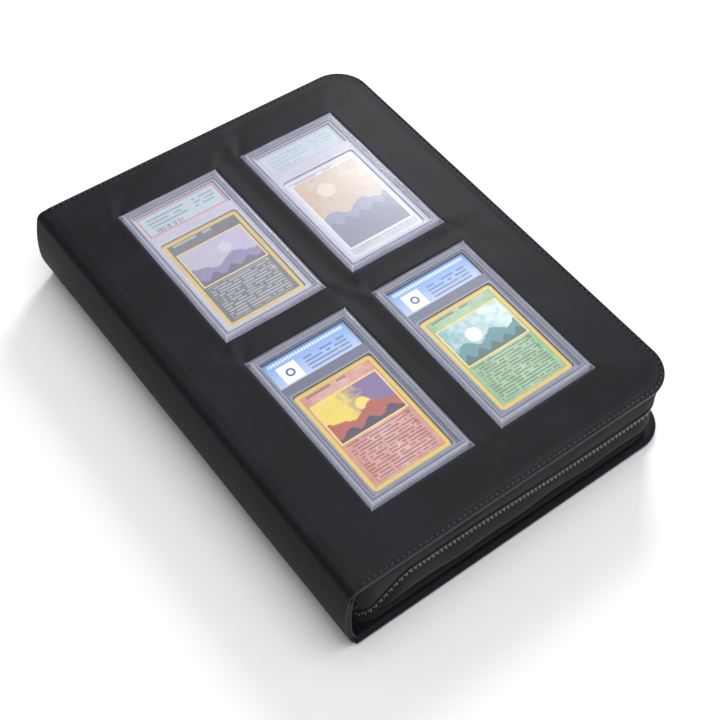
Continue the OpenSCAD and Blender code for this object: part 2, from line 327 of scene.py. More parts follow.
def lining_material():
    """Plain weave on Object coordinates: over and under threads from two sine rows."""
    paint = Paint("lining cloth", Roughness=0.88, Sheen_Weight=0.3)
    place, x, y, z = paint.place()
    turn = 2 * math.pi / (0.7 * MM)
    weave = ((x + z) * turn).sin() * (y * turn).sin() * 0.5 + 0.5
    fluff = paint.noise(place, 5 * MM, 5.0, 0.65)
    base = np.array(colours().lining)
    body = paint.mix(weave, base * 0.6, base * 1.6)
    paint.set(Base_Color=paint.mix(fluff * 0.4, body, base * 1.9))
    paint.set(Roughness=0.8 + fluff * 0.15)
    paint.bump(weave, 0.12 * MM, 0.7)
    return paint.material


def soft_core_material(name, base, grain):
    """Foam or board, hidden inside the covers: fine noise in colour and height."""
    paint = Paint(name, Roughness=0.92)
    place = paint.place()[0]
    cells = paint.noise(place, grain, 5.0, 0.7)
    paint.set(Base_Color=paint.mix(cells, tuple(c * 0.7 for c in base), tuple(min(c * 1.25, 1) for c in base)))
    paint.bump(cells, 0.2 * MM, 0.6)
    return paint.material


def thread_material():
    """Twisted thread: slanted stripes from a sine along the stitch."""
    paint = Paint("sewing thread", Roughness=0.6, Sheen_Weight=0.25)
    _, x, y, _ = paint.place()
    twist = ((x + y) * (2 * math.pi / (0.5 * MM))).sin() * 0.5 + 0.5
    base = np.array(colours().thread)
    paint.set(Base_Color=paint.mix(twist, base * 0.5, base * 1.9))
    paint.bump(twist, 0.06 * MM, 0.7)
    return paint.material


def hole_shade_material():
    """Painted shade of the needle holes: flat discs, almost black and a little cloudy, in place of the dark inside each
    hole.
    """
    paint = Paint("needle hole", Roughness=0.95, Specular_IOR_Level=0.05)
    place = paint.place()[0]
    paint.set(Base_Color=paint.mix(paint.noise(place, 1 * MM), (0.001, 0.001, 0.001), (0.003, 0.003, 0.004)))
    return paint.material


def coil_material():
    """Moulded nylon with a faint cloudiness, lighter and darker in patches."""
    paint = Paint("zip coil nylon", Roughness=0.38, Specular_IOR_Level=0.55)
    place = paint.place()[0]
    cloud = paint.noise(place, 1.1 * MM, 3.0)
    base = np.array(colours().coil)
    paint.set(Base_Color=paint.mix(cloud.over(0.5, 0.5), base * 0.6, base * 1.5))
    paint.set(Roughness=0.3 + cloud * 0.2)
    return paint.material


def metal_material():
    """Black enamel on metal: glossy, with worn spots where the noise is high."""
    paint = Paint("slider enamel", Roughness=0.3, Specular_IOR_Level=0.6, Coat_Weight=0.5, Coat_Roughness=0.15)
    place = paint.place()[0]
    wear_and_highlight = paint.noise(place, 1.6 * MM, 6.0, 0.75).over(0.68, 0.06)
    base = tuple(colours().metal)
    paint.set(Base_Color=paint.mix(wear_and_highlight * 0.5, base, (0.32, 0.31, 0.30)))
    paint.set(Metallic=wear_and_highlight * 0.8, Roughness=0.26 + paint.noise(place, 0.9 * MM) * 0.16)
    return paint.material


def pocket_film_material():
    """Soft clear film: a thin veil whose cover and gloss drift slowly over the sheet."""
    paint = Paint("pocket film", Roughness=0.16, IOR=1.5, Specular_IOR_Level=0.6)
    place = paint.place()[0]
    slow = paint.noise(place, 45 * MM, 2.0, 0.5, 0.8)
    tint, cover = np.array((0.52, 0.53, 0.56)), 0.07
    paint.set(Base_Color=paint.mix(slow, tint * 0.93, tint * 1.06))
    paint.set(Alpha=(slow.over(0.5, 0.6) * cover * 0.9 + cover * 0.55).clamp())
    paint.set(Roughness=0.16 + slow * 0.08)
    paint.bump(paint.noise(place, 14 * MM, 2.0), 0.3 * MM, 0.5)
    return paint.material


def window_film_material(n, haze_and_glare):
    """Window film: nearly clear where it lies on the case, milky on the four slopes round it, with painted highlights
    where it bends: white lines in a frame at the head of the slopes and along a diagonal fold in each corner."""
    paint = Paint(f"window {n} film", Roughness=0.12, IOR=1.5, Specular_IOR_Level=0.4)
    place, x, y, half = paint.centred(WINDOWS[n])
    slow = paint.noise(place, 34 * MM, 2.0, 0.5, 0.8)
    streak = paint.noise(place, 12 * MM, 2.0, 0.5, 0.6)
    slope = 1.0 - box_mask(x, y, half[0] - 2.6 * MM, half[1] - 3.4 * MM, 1.0 * MM)
    head = ring_mask(x, y, half[0] - 2.4 * MM, half[1] - 3.2 * MM, 0.8 * MM, 0.55 * MM)
    foot = inset_ring(x, y, half, 0.1 * MM, 0.8 * MM, 0.5 * MM)
    in_x, in_y = half[0] - abs(x), half[1] - abs(y)
    fold = (1.2 - abs(in_x * 1.3 - in_y) / (0.5 * MM)).clamp() * (in_x * -1 + 4.2 * MM).over(0.0, 2 * MM)
    # painted highlights: white lines at the head and the foot of the slopes and along the corner folds
    film_highlight = (head * (streak * 0.5 + 0.12) + foot * 0.2 + fold * 0.35).clamp()
    tint = np.array(colours().film)
    body = paint.mix(slow, tint * 0.92, np.minimum(tint * 1.1, 1))
    paint.set(Base_Color=paint.mix(film_highlight, body, (0.97, 0.97, 1.0)))
    # partly the film's milky veil and partly painted glare: it is thicker on windows 1 and 2, where the far light is
    # reflected
    veil = slow.over(0.5, 0.7) * haze_and_glare + haze_and_glare * 0.5
    paint.set(Alpha=(veil + slope * (slow * 0.25 + 0.12) + film_highlight * 0.5).clamp())
    paint.set(Roughness=0.10 + slow * 0.10)
    paint.bump(paint.noise(place, 11 * MM, 2.0), 0.2 * MM, 0.5)
    return paint.material


def case_material(n):
    """Clear hard plastic: nearly clear over the card and the label, milky and lined in the welded border."""
    paint = Paint(f"case {n} plastic", Roughness=0.16, IOR=1.5, Specular_IOR_Level=0.3)
    place, x, y, half = paint.centred(CASES[n])
    rim = 1.0 - box_mask(x, y, half[0] - 5.2 * MM, half[1] - 5.2 * MM, 1.2 * MM)
    line = inset_ring(x, y, half, 1.7 * MM, 0.9 * MM, 0.5 * MM)
    line = line + inset_ring(x, y, half, 4.4 * MM, 0.8 * MM, 0.5 * MM) * 0.7
    cloud = paint.noise(place, 20 * MM, 3.0)
    tint = tuple(colours().plastic)
    paint.set(Base_Color=paint.mix((line * 0.4).clamp(), tint, (0.80, 0.81, 0.90)))
    paint.set(Alpha=(rim * (cloud * 0.2 + 0.2) + line * 0.16 + cloud * 0.03 + 0.01).clamp())
    paint.set(Roughness=0.1 + cloud * 0.1)
    return paint.material


def inner_frame_material(n):
    """Frosted soft plastic: pale, with a lighter lip round the card and fine flow marks."""
    paint = Paint(f"case {n} inner frame", Roughness=0.4)
    place, x, y, half = paint.centred(CARDS[n])
    lip = inset_ring(x, y, half, -1.6 * MM, 1.2 * MM, 0.4 * MM)
    flow = paint.noise(place, 9 * MM, 4.0)
    pale = (0.54, 0.53, 0.62) if n < 3 else (0.12, 0.13, 0.185)
    body = paint.mix(flow, tuple(c * 0.86 for c in pale), tuple(c * 1.1 for c in pale))
    paint.set(Base_Color=paint.mix(lip * 0.22, body, (0.70, 0.72, 0.86)))
    paint.set(Roughness=0.3 + flow * 0.2)
    return paint.material


def red_label_material(n):
    """Pale paper label: a red border, rows of bars in place of words and a strip of thin bars."""
    paint = Paint(f"label {n} paper", Roughness=0.45)
    place, x, y, half = paint.centred(LABELS[n])
    fade = 1.0 if n == 1 else 0.45
    ground = paint.mix(paint.noise(place, 25 * MM), (0.42, 0.54, 0.58), (0.54, 0.64, 0.68))
    border = inset_ring(x, y, half, 1.2 * MM, 1.3 * MM)
    left = box_mask(x + 12 * MM, y - 2.5 * MM, 16 * MM, 5.4 * MM)
    right = box_mask(x - 20 * MM, y - 2.5 * MM, 9 * MM, 5.4 * MM)
    words = word_mask(paint, x, y, 3.5 * MM) * (left + right)
    bars = paint.cells(x / (0.7 * MM), y * 0.0).over(0.5, 0.02) * box_mask(x + 14 * MM, y + 6.8 * MM, 11 * MM, 2 * MM)
    colour_now = paint.mix(border * 0.85 * fade, ground, tuple(colours().label_red))
    colour_now = paint.mix((words + bars).clamp() * 0.62 * fade, colour_now, (0.10, 0.10, 0.13))
    paint.set(Base_Color=colour_now)
    return paint.material


def blue_label_material(n):
    """Blue paper label: darker at its upper edge, a white square with a disc at the left, pale bars as words."""
    paint = Paint(f"label {n} paper", Roughness=0.45)
    _, x, y, half = paint.centred(LABELS[n])
    blue = np.array(colours().label_blue)
    rise = (y / (2 * half[1]) + 0.5).clamp()
    ground = paint.mix(rise, blue * 0.55 + 0.38, tuple(blue))
    top = box_mask(x, y - half[1] + 3.2 * MM, half[0] - 3 * MM, 1.3 * MM)
    headline = ((x / (2.3 * MM)) % 1.0).over(0.3, 0.15) * top
    square = box_mask(x + half[0] - 14 * MM, y + 2.6 * MM, 7.5 * MM, 7.5 * MM)
    disc = disc_mask(x + half[0] - 14 * MM, y + 2.6 * MM, 3.4 * MM)
    disc = disc - disc_mask(x + half[0] - 14 * MM, y + 2.6 * MM, 1.9 * MM)
    words = word_mask(paint, x, y, 3.3 * MM) * box_mask(x - 10 * MM, y + 3 * MM, 17 * MM, 6.6 * MM)
    colour_now = paint.mix(headline * 0.8, ground, (0.86, 0.90, 0.97))
    colour_now = paint.mix(square, colour_now, (0.92, 0.93, 0.96))
    colour_now = paint.mix((disc + words * 0.8).clamp(), colour_now, (0.06, 0.09, 0.22))
    paint.set(Base_Color=colour_now)
    return paint.material


def landscape(paint, place, x, y, sky, glow, far, near, sun, ridge, drift):
    """An invented view: a mottled sky, a sun disc and two ridges whose tops are sums of sines and noise."""
    cloud = paint.noise(place, 9 * MM, 5.0, 0.65, 0.6) + x * (drift / (50 * MM))
    ground = paint.mix(cloud.over(0.5, 0.4), sky, glow)
    ground = paint.mix(disc_mask(x - sun[0], y - sun[1], sun[2], 1.0 * MM), ground, sun[3])
    rough = paint.noise(place, 6 * MM, 5.0, 0.6)
    far_top = (x * (2 * math.pi / ridge)).sin() * 3 * MM + rough * 9 * MM - 8 * MM
    near_top = (x * (4.4 * math.pi / ridge) + 1.3).sin() * 2.4 * MM + rough * 6 * MM - 15 * MM
    ground = paint.mix(((far_top - y) / (0.7 * MM) + 0.5).clamp(), ground, far)
    return paint.mix(((near_top - y) / (0.5 * MM) + 0.5).clamp(), ground, near)


def card_material(n, border, body, wash, ink, view, picture):
    """A card: border, printed body, a framed picture in its upper half and rows of bars in place of words."""
    paint = Paint(f"card {n} print", Roughness=0.32, Coat_Weight=0.25, Coat_Roughness=0.2)
    place, x, y, half = paint.centred(CARDS[n])
    px, py, pw, ph = (value * MM for value in picture)
    inside = box_mask(x, y, half[0] - 3.3 * MM, half[1] - 3.3 * MM)
    tone = (paint.noise(place, 13 * MM, 4.0, 0.6).over(0.5, 0.6) + 0.25 - abs(x) / (70 * MM)).clamp()
    dark = tuple(c * 0.75 for c in body)
    light = tuple(c * 0.45 + 0.55 * pale for c, pale in zip(body, wash))
    base = paint.mix(inside, paint.mix(tone * 0.5, border, tuple(c * 0.85 for c in border)),
                     paint.mix(tone, dark, light))
    hair = inset_ring(x, y, half, 3.1 * MM, 0.5 * MM)
    base = paint.mix(hair * 0.6, base, tuple(c * 0.45 for c in border))
    frame_now = ring_mask(x - px, y - py, pw + 1.2 * MM, ph + 1.2 * MM, 1.3 * MM)
    base = paint.mix(frame_now, base, tuple(min(c * 1.12 + 0.03, 1) for c in border))
    shown = landscape(paint, place, x - px, y - py, *view)
    base = paint.mix(box_mask(x - px, y - py, pw, ph), base, shown)
    floor_ = (py - ph - 2.5 * MM + half[1] - 5 * MM) / 2
    words = word_mask(paint, x, y, 2.55 * MM, 0.85 * MM, 0.84)
    words = words * box_mask(x, y - (py - ph - 2.5 * MM - floor_), 25 * MM, floor_)
    title = word_mask(paint, x, y - 0.4 * MM, 4.6 * MM, 1.9 * MM, 0.9)
    title = title * box_mask(x + 9 * MM, y - 38.2 * MM, 17 * MM, 2.2 * MM)
    marks = disc_mask(x - 24 * MM, (y + 21 * MM) % (9 * MM) - 4.5 * MM, 1.5 * MM)
    marks = marks * box_mask(x - 24 * MM, y + 16 * MM, 3 * MM, 9 * MM)
    paint.set(Base_Color=paint.mix((words + title + marks * 0.8).clamp() * 0.72, base, ink))
    return paint.material


def leaf_material():
    """Pebbled plastic sheet: small rounded cells as bumps and slow changes of tone."""
    paint = Paint("leaf sheet", Roughness=0.55)
    place = paint.place()[0]
    pebble = paint.add("ShaderNodeTexVoronoi", {"Vector": place, "Scale": 1 / (0.9 * MM)})
    tone = paint.noise(place, 30 * MM, 4.0)
    paint.set(Base_Color=paint.mix(tone, (0.018, 0.018, 0.021), (0.034, 0.034, 0.038)))
    paint.set(Roughness=0.5 + tone * 0.15)
    paint.bump(pebble, 0.12 * MM, 0.6)
    return paint.material


# ---------------------------------------------------------------- mesh kit

def ease(t):
    """Smooth step: 3 t squared less 2 t cubed, between 0 and 1."""
    t = np.clip(t, 0, 1)
    return t * t * (3 - 2 * t)


def quads(rows, cols, close_rows=False, close_cols=False):
    """The four corners of every cell of a grid of points that is stored row by row."""
    i = np.arange(rows if close_rows else rows - 1)[:, None]
    j = np.arange(cols if close_cols else cols - 1)[None, :]
    right, down = (j + 1) % cols, (i + 1) % rows
    return np.stack([i * cols + j, i * cols + right, down * cols + right, down * cols + j], -1).reshape(-1, 4)


def join_parts(parts):
    """Several (points, faces, map) parts as one, with the faces renumbered."""
    points, faces, maps, start = [], [], [], 0
    for part_points, part_faces, part_map in parts:
        points.append(part_points)
        faces += [[start + i for i in face] for face in part_faces]
        maps.append(part_map)
        start += len(part_points)
    return np.concatenate(points), faces, np.concatenate(maps)


def piece(name, parts, material, body, replaces=(), merge=True, outward=True, smooth=True, wear_and_highlight=None):
    """Makes a mesh from (points, faces, map) parts, closes its seams, turns its faces outwards and lets it ride.
    The last argument gives, from the points, how strongly a painted highlight lightens the leather at each."""
    points, faces, flat = join_parts(parts)
    mesh = bpy.data.meshes.new(name)
    mesh.from_pydata(points.tolist(), [], faces)
    layer = mesh.uv_layers.new(name="metres")
    corner = np.empty(len(mesh.loops), int)
    mesh.loops.foreach_get("vertex_index", corner)
    layer.data.foreach_set("uv", flat[corner].astype(np.float32).ravel())
    work = bmesh.new()
    work.from_mesh(mesh)
    if merge:
        bmesh.ops.remove_doubles(work, verts=work.verts, dist=0.004 * MM)
    if outward:
        bmesh.ops.recalc_face_normals(work, faces=work.faces)
    for face in work.faces:
        face.smooth = smooth
    work.to_mesh(mesh)
    work.free()
    # stores where a painted highlight lightens the leather
    if wear_and_highlight:
        where = np.empty(len(mesh.vertices) * 3)
        mesh.vertices.foreach_get("co", where)
        edge_highlight = mesh.attributes.new("wear_and_highlight", "FLOAT", "POINT")
        edge_highlight.data.foreach_set("value", wear_and_highlight(where.reshape(-1, 3)).astype(np.float32))
    mesh.materials.append(material)
    item = bpy.data.objects.new(name, mesh)
    bpy.context.scene.collection.objects.link(item)
    if body:
        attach(item, body)
    if replaces:
        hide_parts(*replaces)
    return item


def grid_part(points, close_rows=False, close_cols=False):
    """A (rows, cols, 3) array of points as one part. Its map is the arc length along each row and column."""
    rows, cols = points.shape[:2]
    along = np.linalg.norm(np.diff(points, axis=1), axis=2)
    across = np.linalg.norm(np.diff(points, axis=0), axis=2)
    flat = np.stack([np.pad(np.cumsum(along, 1), ((0, 0), (1, 0))), np.pad(np.cumsum(across, 0), ((1, 0), (0, 0)))], -1)
    return points.reshape(-1, 3), quads(rows, cols, close_rows, close_cols).tolist(), flat.reshape(-1, 2)


def stack_part(rings, cap_first=True, cap_last=True):
    """Closed rings, (levels, points, 3), joined level to level, with a flat face over each end."""
    levels, count = rings.shape[:2]
    points, faces, flat = grid_part(rings, close_cols=True)
    if cap_first:
        faces.append(list(range(count))[::-1])
    if cap_last:
        faces.append(list(range((levels - 1) * count, levels * count)))
    return points, faces, flat


def outline(low, high, radii, steps=10, side=1):
    """A rectangle with round corners, anticlockwise from the lower left corner. Each corner is a quarter circle.
    side cuts each straight side into that many steps."""
    points = []
    corners = ((low[0], low[1], 1, 1), (high[0], low[1], -1, 1), (high[0], high[1], -1, -1), (low[0], high[1], 1, -1))
    for k, (x, y, sx, sy) in enumerate(corners):
        r = radii[k]
        turn = math.pi + k * math.pi / 2 + np.linspace(0, math.pi / 2, steps)
        points.append(np.array([x + sx * r, y + sy * r]) + r * np.stack([np.cos(turn), np.sin(turn)], -1))
    t = np.linspace(0, 1, side + 1)[1:-1, None]
    for k in range(4):
        first, last = points[k][-1], points[(k + 1) % 4][0]
        points[k] = np.concatenate([points[k], first + (last - first) * t])
    return np.concatenate(points)


def plate_part(low, high, radii, profile, steps=8, side=1):
    """A plate with a moulded edge: one ring for each (inset, height) of the profile, capped at both ends."""
    rings = []
    for inset, height in profile:
        shrunk = [max(r - inset, 0.02 * MM) for r in radii]
        points = outline(np.array(low[:2]) + inset, np.array(high[:2]) - inset, shrunk, steps, side)
        rings.append(np.column_stack([points, np.full(len(points), height)]))
    return stack_part(np.array(rings))


def round_edge(low_z, high_z, radius, steps=4):
    """The (inset, height) profile of a plate whose lower and upper edges are quarter circles."""
    turn = np.linspace(0, math.pi / 2, steps)
    lower = [(radius * (1 - math.sin(a)), low_z + radius * (1 - math.cos(a))) for a in turn]
    upper = [(inset, low_z + high_z - height) for inset, height in lower[::-1]]
    return lower + upper


def tooth_rows(places, along, across, up, template, faces):
    """Copies of one small shape: each point is its place plus the template's three parts along three directions."""
    t = np.asarray(template)
    points = (places[:, None, :] + along[:, None, :] * t[None, :, 0:1] + across[:, None, :] * t[None, :, 1:2]
              + up[:, None, :] * t[None, :, 2:3])
    count = len(t)
    numbered = (np.arange(len(places))[:, None, None] * count + np.asarray(faces)[None]).reshape(-1, len(faces[0]))
    flat = points.reshape(-1, 3)
    return flat, numbered.tolist(), flat[:, :2]


def capsule(length_, width, height, rings=5, around=6):
    """A small rounded bar along its first direction: its half width is the root of 1 less the fourth power of t."""
    t = np.linspace(-1, 1, rings)
    swell = np.sqrt(np.clip(1 - t ** 4, 0.04, 1))
    turn = np.linspace(0, 2 * math.pi, around, endpoint=False)
    points = np.stack([np.repeat(t * length_ / 2, around), np.outer(swell, np.cos(turn)).ravel() * width / 2,
                       np.outer(swell, np.sin(turn)).ravel() * height / 2], -1)
    faces = quads(rings, around, close_cols=True).tolist()
    return points, faces


# ---------------------------------------------------------------- the front cover's surface

def edge_gap(x, y, right=RIGHT, half=HALF):
    """Distance in from a cover's outline: to the nearest straight edge, or to the round corner."""
    r = sizes().corner
    dx, dy = right - x, half - np.abs(y)
    ax, ay = x - (right - r), np.abs(y) - (half - r)
    round_gap = r - np.hypot(np.maximum(ax, 0), np.maximum(ay, 0))
    return np.where((ax > 0) & (ay > 0), round_gap, np.minimum(dx, dy))


def window_gap(x, y, n):
    """Distance out from window n, 0 inside it."""
    low, high = WINDOWS[n]
    ax = np.maximum(np.maximum(low[0] - x, x - high[0]), 0)
    ay = np.maximum(np.maximum(low[1] - y, y - high[1]), 0)
    return np.hypot(ax, ay)


def crease_field(x, y):
    """Valleys and ridges that leave the window corners. Each is a bell across its ray, which widens and fades."""
    s = sizes()
    random = np.random.default_rng(s.seed)
    total = np.zeros_like(x)
    for low, high in WINDOWS.values():
        rays = ((low[0], high[1], 52), (high[0], high[1], 40), (low[0], low[1], 222),
                (high[0], low[1], 288), (low[0], high[1], 118), (high[0], low[1], 322))
        for k, (cx, cy, heading) in enumerate(rays):
            angle = math.radians(heading + random.uniform(-9, 9))
            reach = random.uniform(16, 34) * MM
            depth = s.crease * random.uniform(0.45, 1.0) * (1.0 if k in (0, 3) else 0.6)
            ax, ay = x - cx, y - cy
            along = ax * math.cos(angle) + ay * math.sin(angle)
            side = -ax * math.sin(angle) + ay * math.cos(angle)
            width = 2.2 * MM + 0.16 * np.maximum(along, 0)
            bell = np.exp(-(side / width) ** 2) - 0.55 * np.exp(-((side - 1.9 * width) / width) ** 2)
            total -= depth * bell * ease((along + 2 * MM) / (5 * MM)) * np.exp(-np.maximum(along, 0) / reach)
    return total


def cover_height(x, y):
    """Height of the front cover's leather. It is flat, rolls over at the edge by a quarter circle, dips under the
    stitches, lifts towards the windows by an exponential, sags between them, and has slow waves and creases."""
    s = sizes()
    gap = edge_gap(x, y)
    near = np.min([window_gap(x, y, n) for n in WINDOWS], axis=0)
    roll = s.edge_roll
    drop = roll - np.sqrt(np.clip(roll ** 2 - np.clip(roll - gap, 0, roll) ** 2, 0, None))
    dip = s.stitch_dip * np.exp(-((gap - s.stitch_inset) / (1.1 * MM)) ** 2)
    dip -= 0.3 * MM * np.exp(-((gap - 0.5 * s.stitch_inset - 0.2 * MM) / (0.9 * MM)) ** 2)
    lift = s.window_lift * np.exp(-near / (8 * MM)) - 0.35 * MM * np.exp(-near / (1.4 * MM))
    puff = 0.5 * MM * ease((gap - s.stitch_inset) / (16 * MM)) - 0.7 * MM * ease((near - 9 * MM) / (30 * MM))
    wave = 0.28 * MM * np.sin(x / (31 * MM) + 1.1) * np.cos(y / (43 * MM))
    wave += 0.16 * MM * np.sin((x + 1.7 * y) / (17 * MM)) * ease((gap - 8 * MM) / (20 * MM))
    groove = 0.95 * MM * np.exp(-((x - LEFT) / (3.4 * MM)) ** 2)
    fade = ease((gap - 2 * MM) / (6 * MM)) * ease((x - LEFT) / (6 * MM))
    return TOP - drop - dip + (lift + puff + wave + crease_field(x, y)) * fade - groove


def lines_between(stops, step):
    """Coordinates that pass through every stop, no further apart than step."""
    runs = [np.linspace(a, b, max(int(math.ceil((b - a) / step)), 1), endpoint=False)
            for a, b in zip(stops[:-1], stops[1:])]
    return np.append(np.concatenate(runs), stops[-1])


def cover_lines():
    """x lines and y lines of the front cover's grid. They pass along the windows' edges and crowd at the outline.
    In the corner zone x runs by the sine of an angle, and each y line is scaled to the outline's half height."""
    s = sizes()
    low_1, high_1 = WINDOWS[3]
    low_2, high_2 = WINDOWS[2]
    rim = np.array([0, 0.12, 0.45, 0.95, 1.7, 2.6, 3.5, 4.4, 5.4, 6.4, 8]) * MM
    ys = [low_1[1], high_1[1], low_2[1], high_2[1]]
    inner = lines_between([-HALF + rim[-1], *ys, HALF - rim[-1]], s.mesh_step)
    y = np.concatenate([-HALF + rim[:-1], inner, HALF - rim[:-1][::-1]])
    x_low, x_high = WINDOWS[1]
    x = lines_between([LEFT, LEFT + 4 * MM, x_low[0], x_high[0], low_2[0], high_2[0], RIGHT - s.corner], s.mesh_step)
    turn = np.linspace(0, math.pi / 2, 24)[1:]
    x = np.concatenate([x, RIGHT - s.corner + s.corner * np.sin(turn)])
    half = np.full(len(x), HALF)
    half[-len(turn):] = HALF - s.corner + s.corner * np.cos(turn)
    return x, y, half


def cover_skin_parts():
    """The leather of the front cover: the upper surface on the cover's lines, less the windows; a band that follows
    the outline down the side and under; and a folded rim in each window."""
    x, y, half = cover_lines()
    gx = np.repeat(x[:, None], len(y), 1)
    gy = half[:, None] * (y / HALF)[None, :]
    gz = cover_height(gx, gy)
    points = np.stack([gx, gy, gz], -1)
    mid_x, mid_y = (gx[:-1, :-1] + gx[1:, 1:]) / 2, (gy[:-1, :-1] + gy[1:, 1:]) / 2
    open_cell = np.zeros(mid_x.shape, bool)
    for low, high in WINDOWS.values():
        open_cell |= (mid_x > low[0]) & (mid_x < high[0]) & (mid_y > low[1]) & (mid_y < high[1])
    faces = quads(len(x), len(y))[~open_cell.ravel()].tolist()
    top = points.reshape(-1, 3), faces, points[..., :2].reshape(-1, 2)
    edge = np.concatenate([points[:, 0], points[-1, 1:-1], points[::-1, -1]])
    away = outline_normals(edge)
    profile = ((0, 0), (0.02, -0.3), (-0.05, -0.9), (-0.25, -1.8), (-0.45, -2.8), (-0.6, -3.9), (-0.75, -4.5),
               (-1.3, -4.76), (-4, -4.78), (-9, -4.78))
    band = np.stack([np.column_stack([edge[:, :2] + away * a * MM, edge[:, 2] + b * MM]) for a, b in profile])
    parts = [top, grid_part(band)]
    fold = ((0, 0), (-0.22, -0.12), (-0.3, -0.45), (-0.2, -0.85), (0.3, -1.1), (1.6, -1.15))
    for low, high in WINDOWS.values():
        xs = x[(x > low[0] - 0.1 * MM) & (x < high[0] + 0.1 * MM)]
        ys = y[(y > low[1] - 0.1 * MM) & (y < high[1] + 0.1 * MM)]
        sides = ((xs, ys[:1]), (xs[-1:], ys), (xs[::-1], ys[-1:]), (xs[:1], ys[::-1]))
        loop = np.concatenate([np.stack(np.broadcast_arrays(a, b), -1)[:-1] for a, b in sides])
        middle, size = (low + high)[:2] / 2, (high - low)[:2] / 2
        side = (np.abs(np.abs(loop - middle) - size) < 0.05 * MM) * np.sign(loop - middle)
        z = cover_height(loop[:, 0], loop[:, 1])
        rows = np.stack([np.column_stack([loop + side * a * MM, z + b * MM]) for a, b in fold])
        parts.append(grid_part(rows, close_cols=True))
    return parts


def outline_normals(edge):
    """Outward directions on the front cover's outline: radial in the round corners, square to the straight edges."""
    r = sizes().corner
    across = np.sign(edge[:, 1]) * np.minimum(np.abs(edge[:, 1]), HALF - r)
    ray = edge[:, :2] - np.column_stack([np.minimum(edge[:, 0], RIGHT - r), across])
    return ray / np.maximum(np.linalg.norm(ray, axis=1, keepdims=True), 1e-9)


# ---------------------------------------------------------------- the zip's path round the opening

def chain_height(x):
    """Height of the zip along the near side: a long cosine wave that falls away in front of the spine."""
    wave = sizes().chain_wave * np.cos(math.pi * (x + 72 * MM) / (150 * MM))
    return ZIP_Z + 1.8 * MM + wave - 29.5 * MM * ease((-88 * MM - x) / (37 * MM))


def flare_at(z):
    """How far the near side stands out at a height: it eases from nothing at 60 mm up to 2.3 mm low down."""
    return 2.3 * MM * ease((60 * MM - z) / (54 * MM))


def flare(points):
    """Moves the near side's lower parts outwards along y, where they stand out under the front cover."""
    points[..., 1] -= flare_at(points[..., 2]) * ease((-points[..., 1] - 150 * MM) / (38 * MM))


def tuck_under(points):
    """The spine's low edge turns in towards the covers: a move along x that grows downwards. Adds the flare."""
    turn_in = ease((24 * MM - points[..., 2]) / (24 * MM)) * ease((-131 * MM - points[..., 0]) / (3 * MM))
    points[..., 0] += 2.7 * MM * turn_in
    flare(points)


def zip_path(step=2.0 * MM, near_start=-130 * MM, far_end=-130 * MM):
    """The zip's line round the opening: near side, round corner, right side, round corner, far side.
    Along the near side it bulges out between the covers. Gives points, outward directions, chain heights, the
    distance run and the bulge, a step apart."""
    r = 20 * MM
    x1, y1 = ZIP_RIGHT - r, ZIP_Y - r
    run_1, bend, run_2 = x1 - near_start, math.pi * r / 2, 2 * y1
    total = run_1 + 2 * bend + run_2 + x1 - far_end
    s = np.linspace(0, total, int(total / step) + 1)
    stops = np.cumsum([0, run_1, bend, run_2, bend, x1 - far_end])
    part = np.clip(np.searchsorted(stops, s, side="right") - 1, 0, 4)
    t = s - stops[part]
    quarter, same = math.pi / 2, np.ones_like(s)
    angle = np.choose(part, [-quarter * same, -quarter + t / r, 0 * same, t / r, quarter * same])
    cx = np.choose(part, [near_start + t, x1 * same, x1 * same, x1 * same, x1 - t])
    cy = np.choose(part, [-y1 * same, -y1 * same, -y1 + t, y1 * same, y1 * same])
    away = np.stack([np.cos(angle), np.sin(angle)], -1)
    tuck = 6 * MM * ease((-116 * MM - cx) / (16 * MM)) * (part == 0)
    tuck += 2 * MM * ease((-128 * MM - cx) / (4 * MM)) * (part == 4)
    bulge = 3.4 * MM * ease((cx + 124 * MM) / (40 * MM)) * (part == 0)
    bulge += 3.4 * MM * (1 - ease((s - stops[1]) / (110 * MM))) * (part > 0)
    points = np.stack([cx, cy], -1) + away * (r - tuck + bulge)[:, None]
    near = chain_height(np.minimum(cx, x1))
    height = np.where(part == 0, near, ZIP_Z + (chain_height(x1) - ZIP_Z) * (1 - ease((s - stops[1]) / (150 * MM))))
    return points, away, np.where(part == 4, ZIP_Z, height), s, bulge


def swept(points, away, section):
    """A closed section carried along a path: the section gives, for each path point, how far out and how high."""
    out, height = section
    rings = points[:, None, :] + away[:, None, :] * out[..., None]
    return stack_part(np.concatenate([rings, height[..., None]], -1))


FLANGE = ((-0.5, -0.25), (-0.75, -0.75), (0.1, -1.0), (1.0, -1.5), (2.0, -2.5), (2.8, -3.9), (3.1, -5.2), (3.0, -6.1))


def wall_section(count, top, bottom, out_top, out_bottom, bell, peak, thick, flange=()):
    """Section of a cloth wall between two heights: a straight line plus a bell, whose height differs along the path
    and whose peak lies at a fraction of the way down. A flange goes on from its low end, by steps out and down in
    millimetres. The inner face lies one thickness further in."""
    t = np.linspace(0, 1, count)[None, :]
    out = out_top[:, None] + (out_bottom - out_top)[:, None] * t
    out = out + bell[:, None] * np.sin(math.pi * t ** (math.log(0.5) / math.log(peak)))
    height = top[:, None] + (bottom - top)[:, None] * t
    if flange:
        steps = np.array(flange) * MM
        out = np.concatenate([out, out[:, -1:] + steps[:, 0]], 1)
        height = np.concatenate([height, height[:, -1:] + steps[:, 1]], 1)
    return np.concatenate([out, out[:, ::-1] - thick], 1), np.concatenate([height, height[:, ::-1]], 1)


def run_along(points):
    """Distance run at each point of a line."""
    return np.append(0, np.cumsum(np.linalg.norm(np.diff(points, axis=0), axis=1)))


def sampled(stations, run, table):
    """The rows of a table that has one row for each path point, read off at other distances along the path."""
    return np.column_stack([np.interp(stations, run, column) for column in table.T])


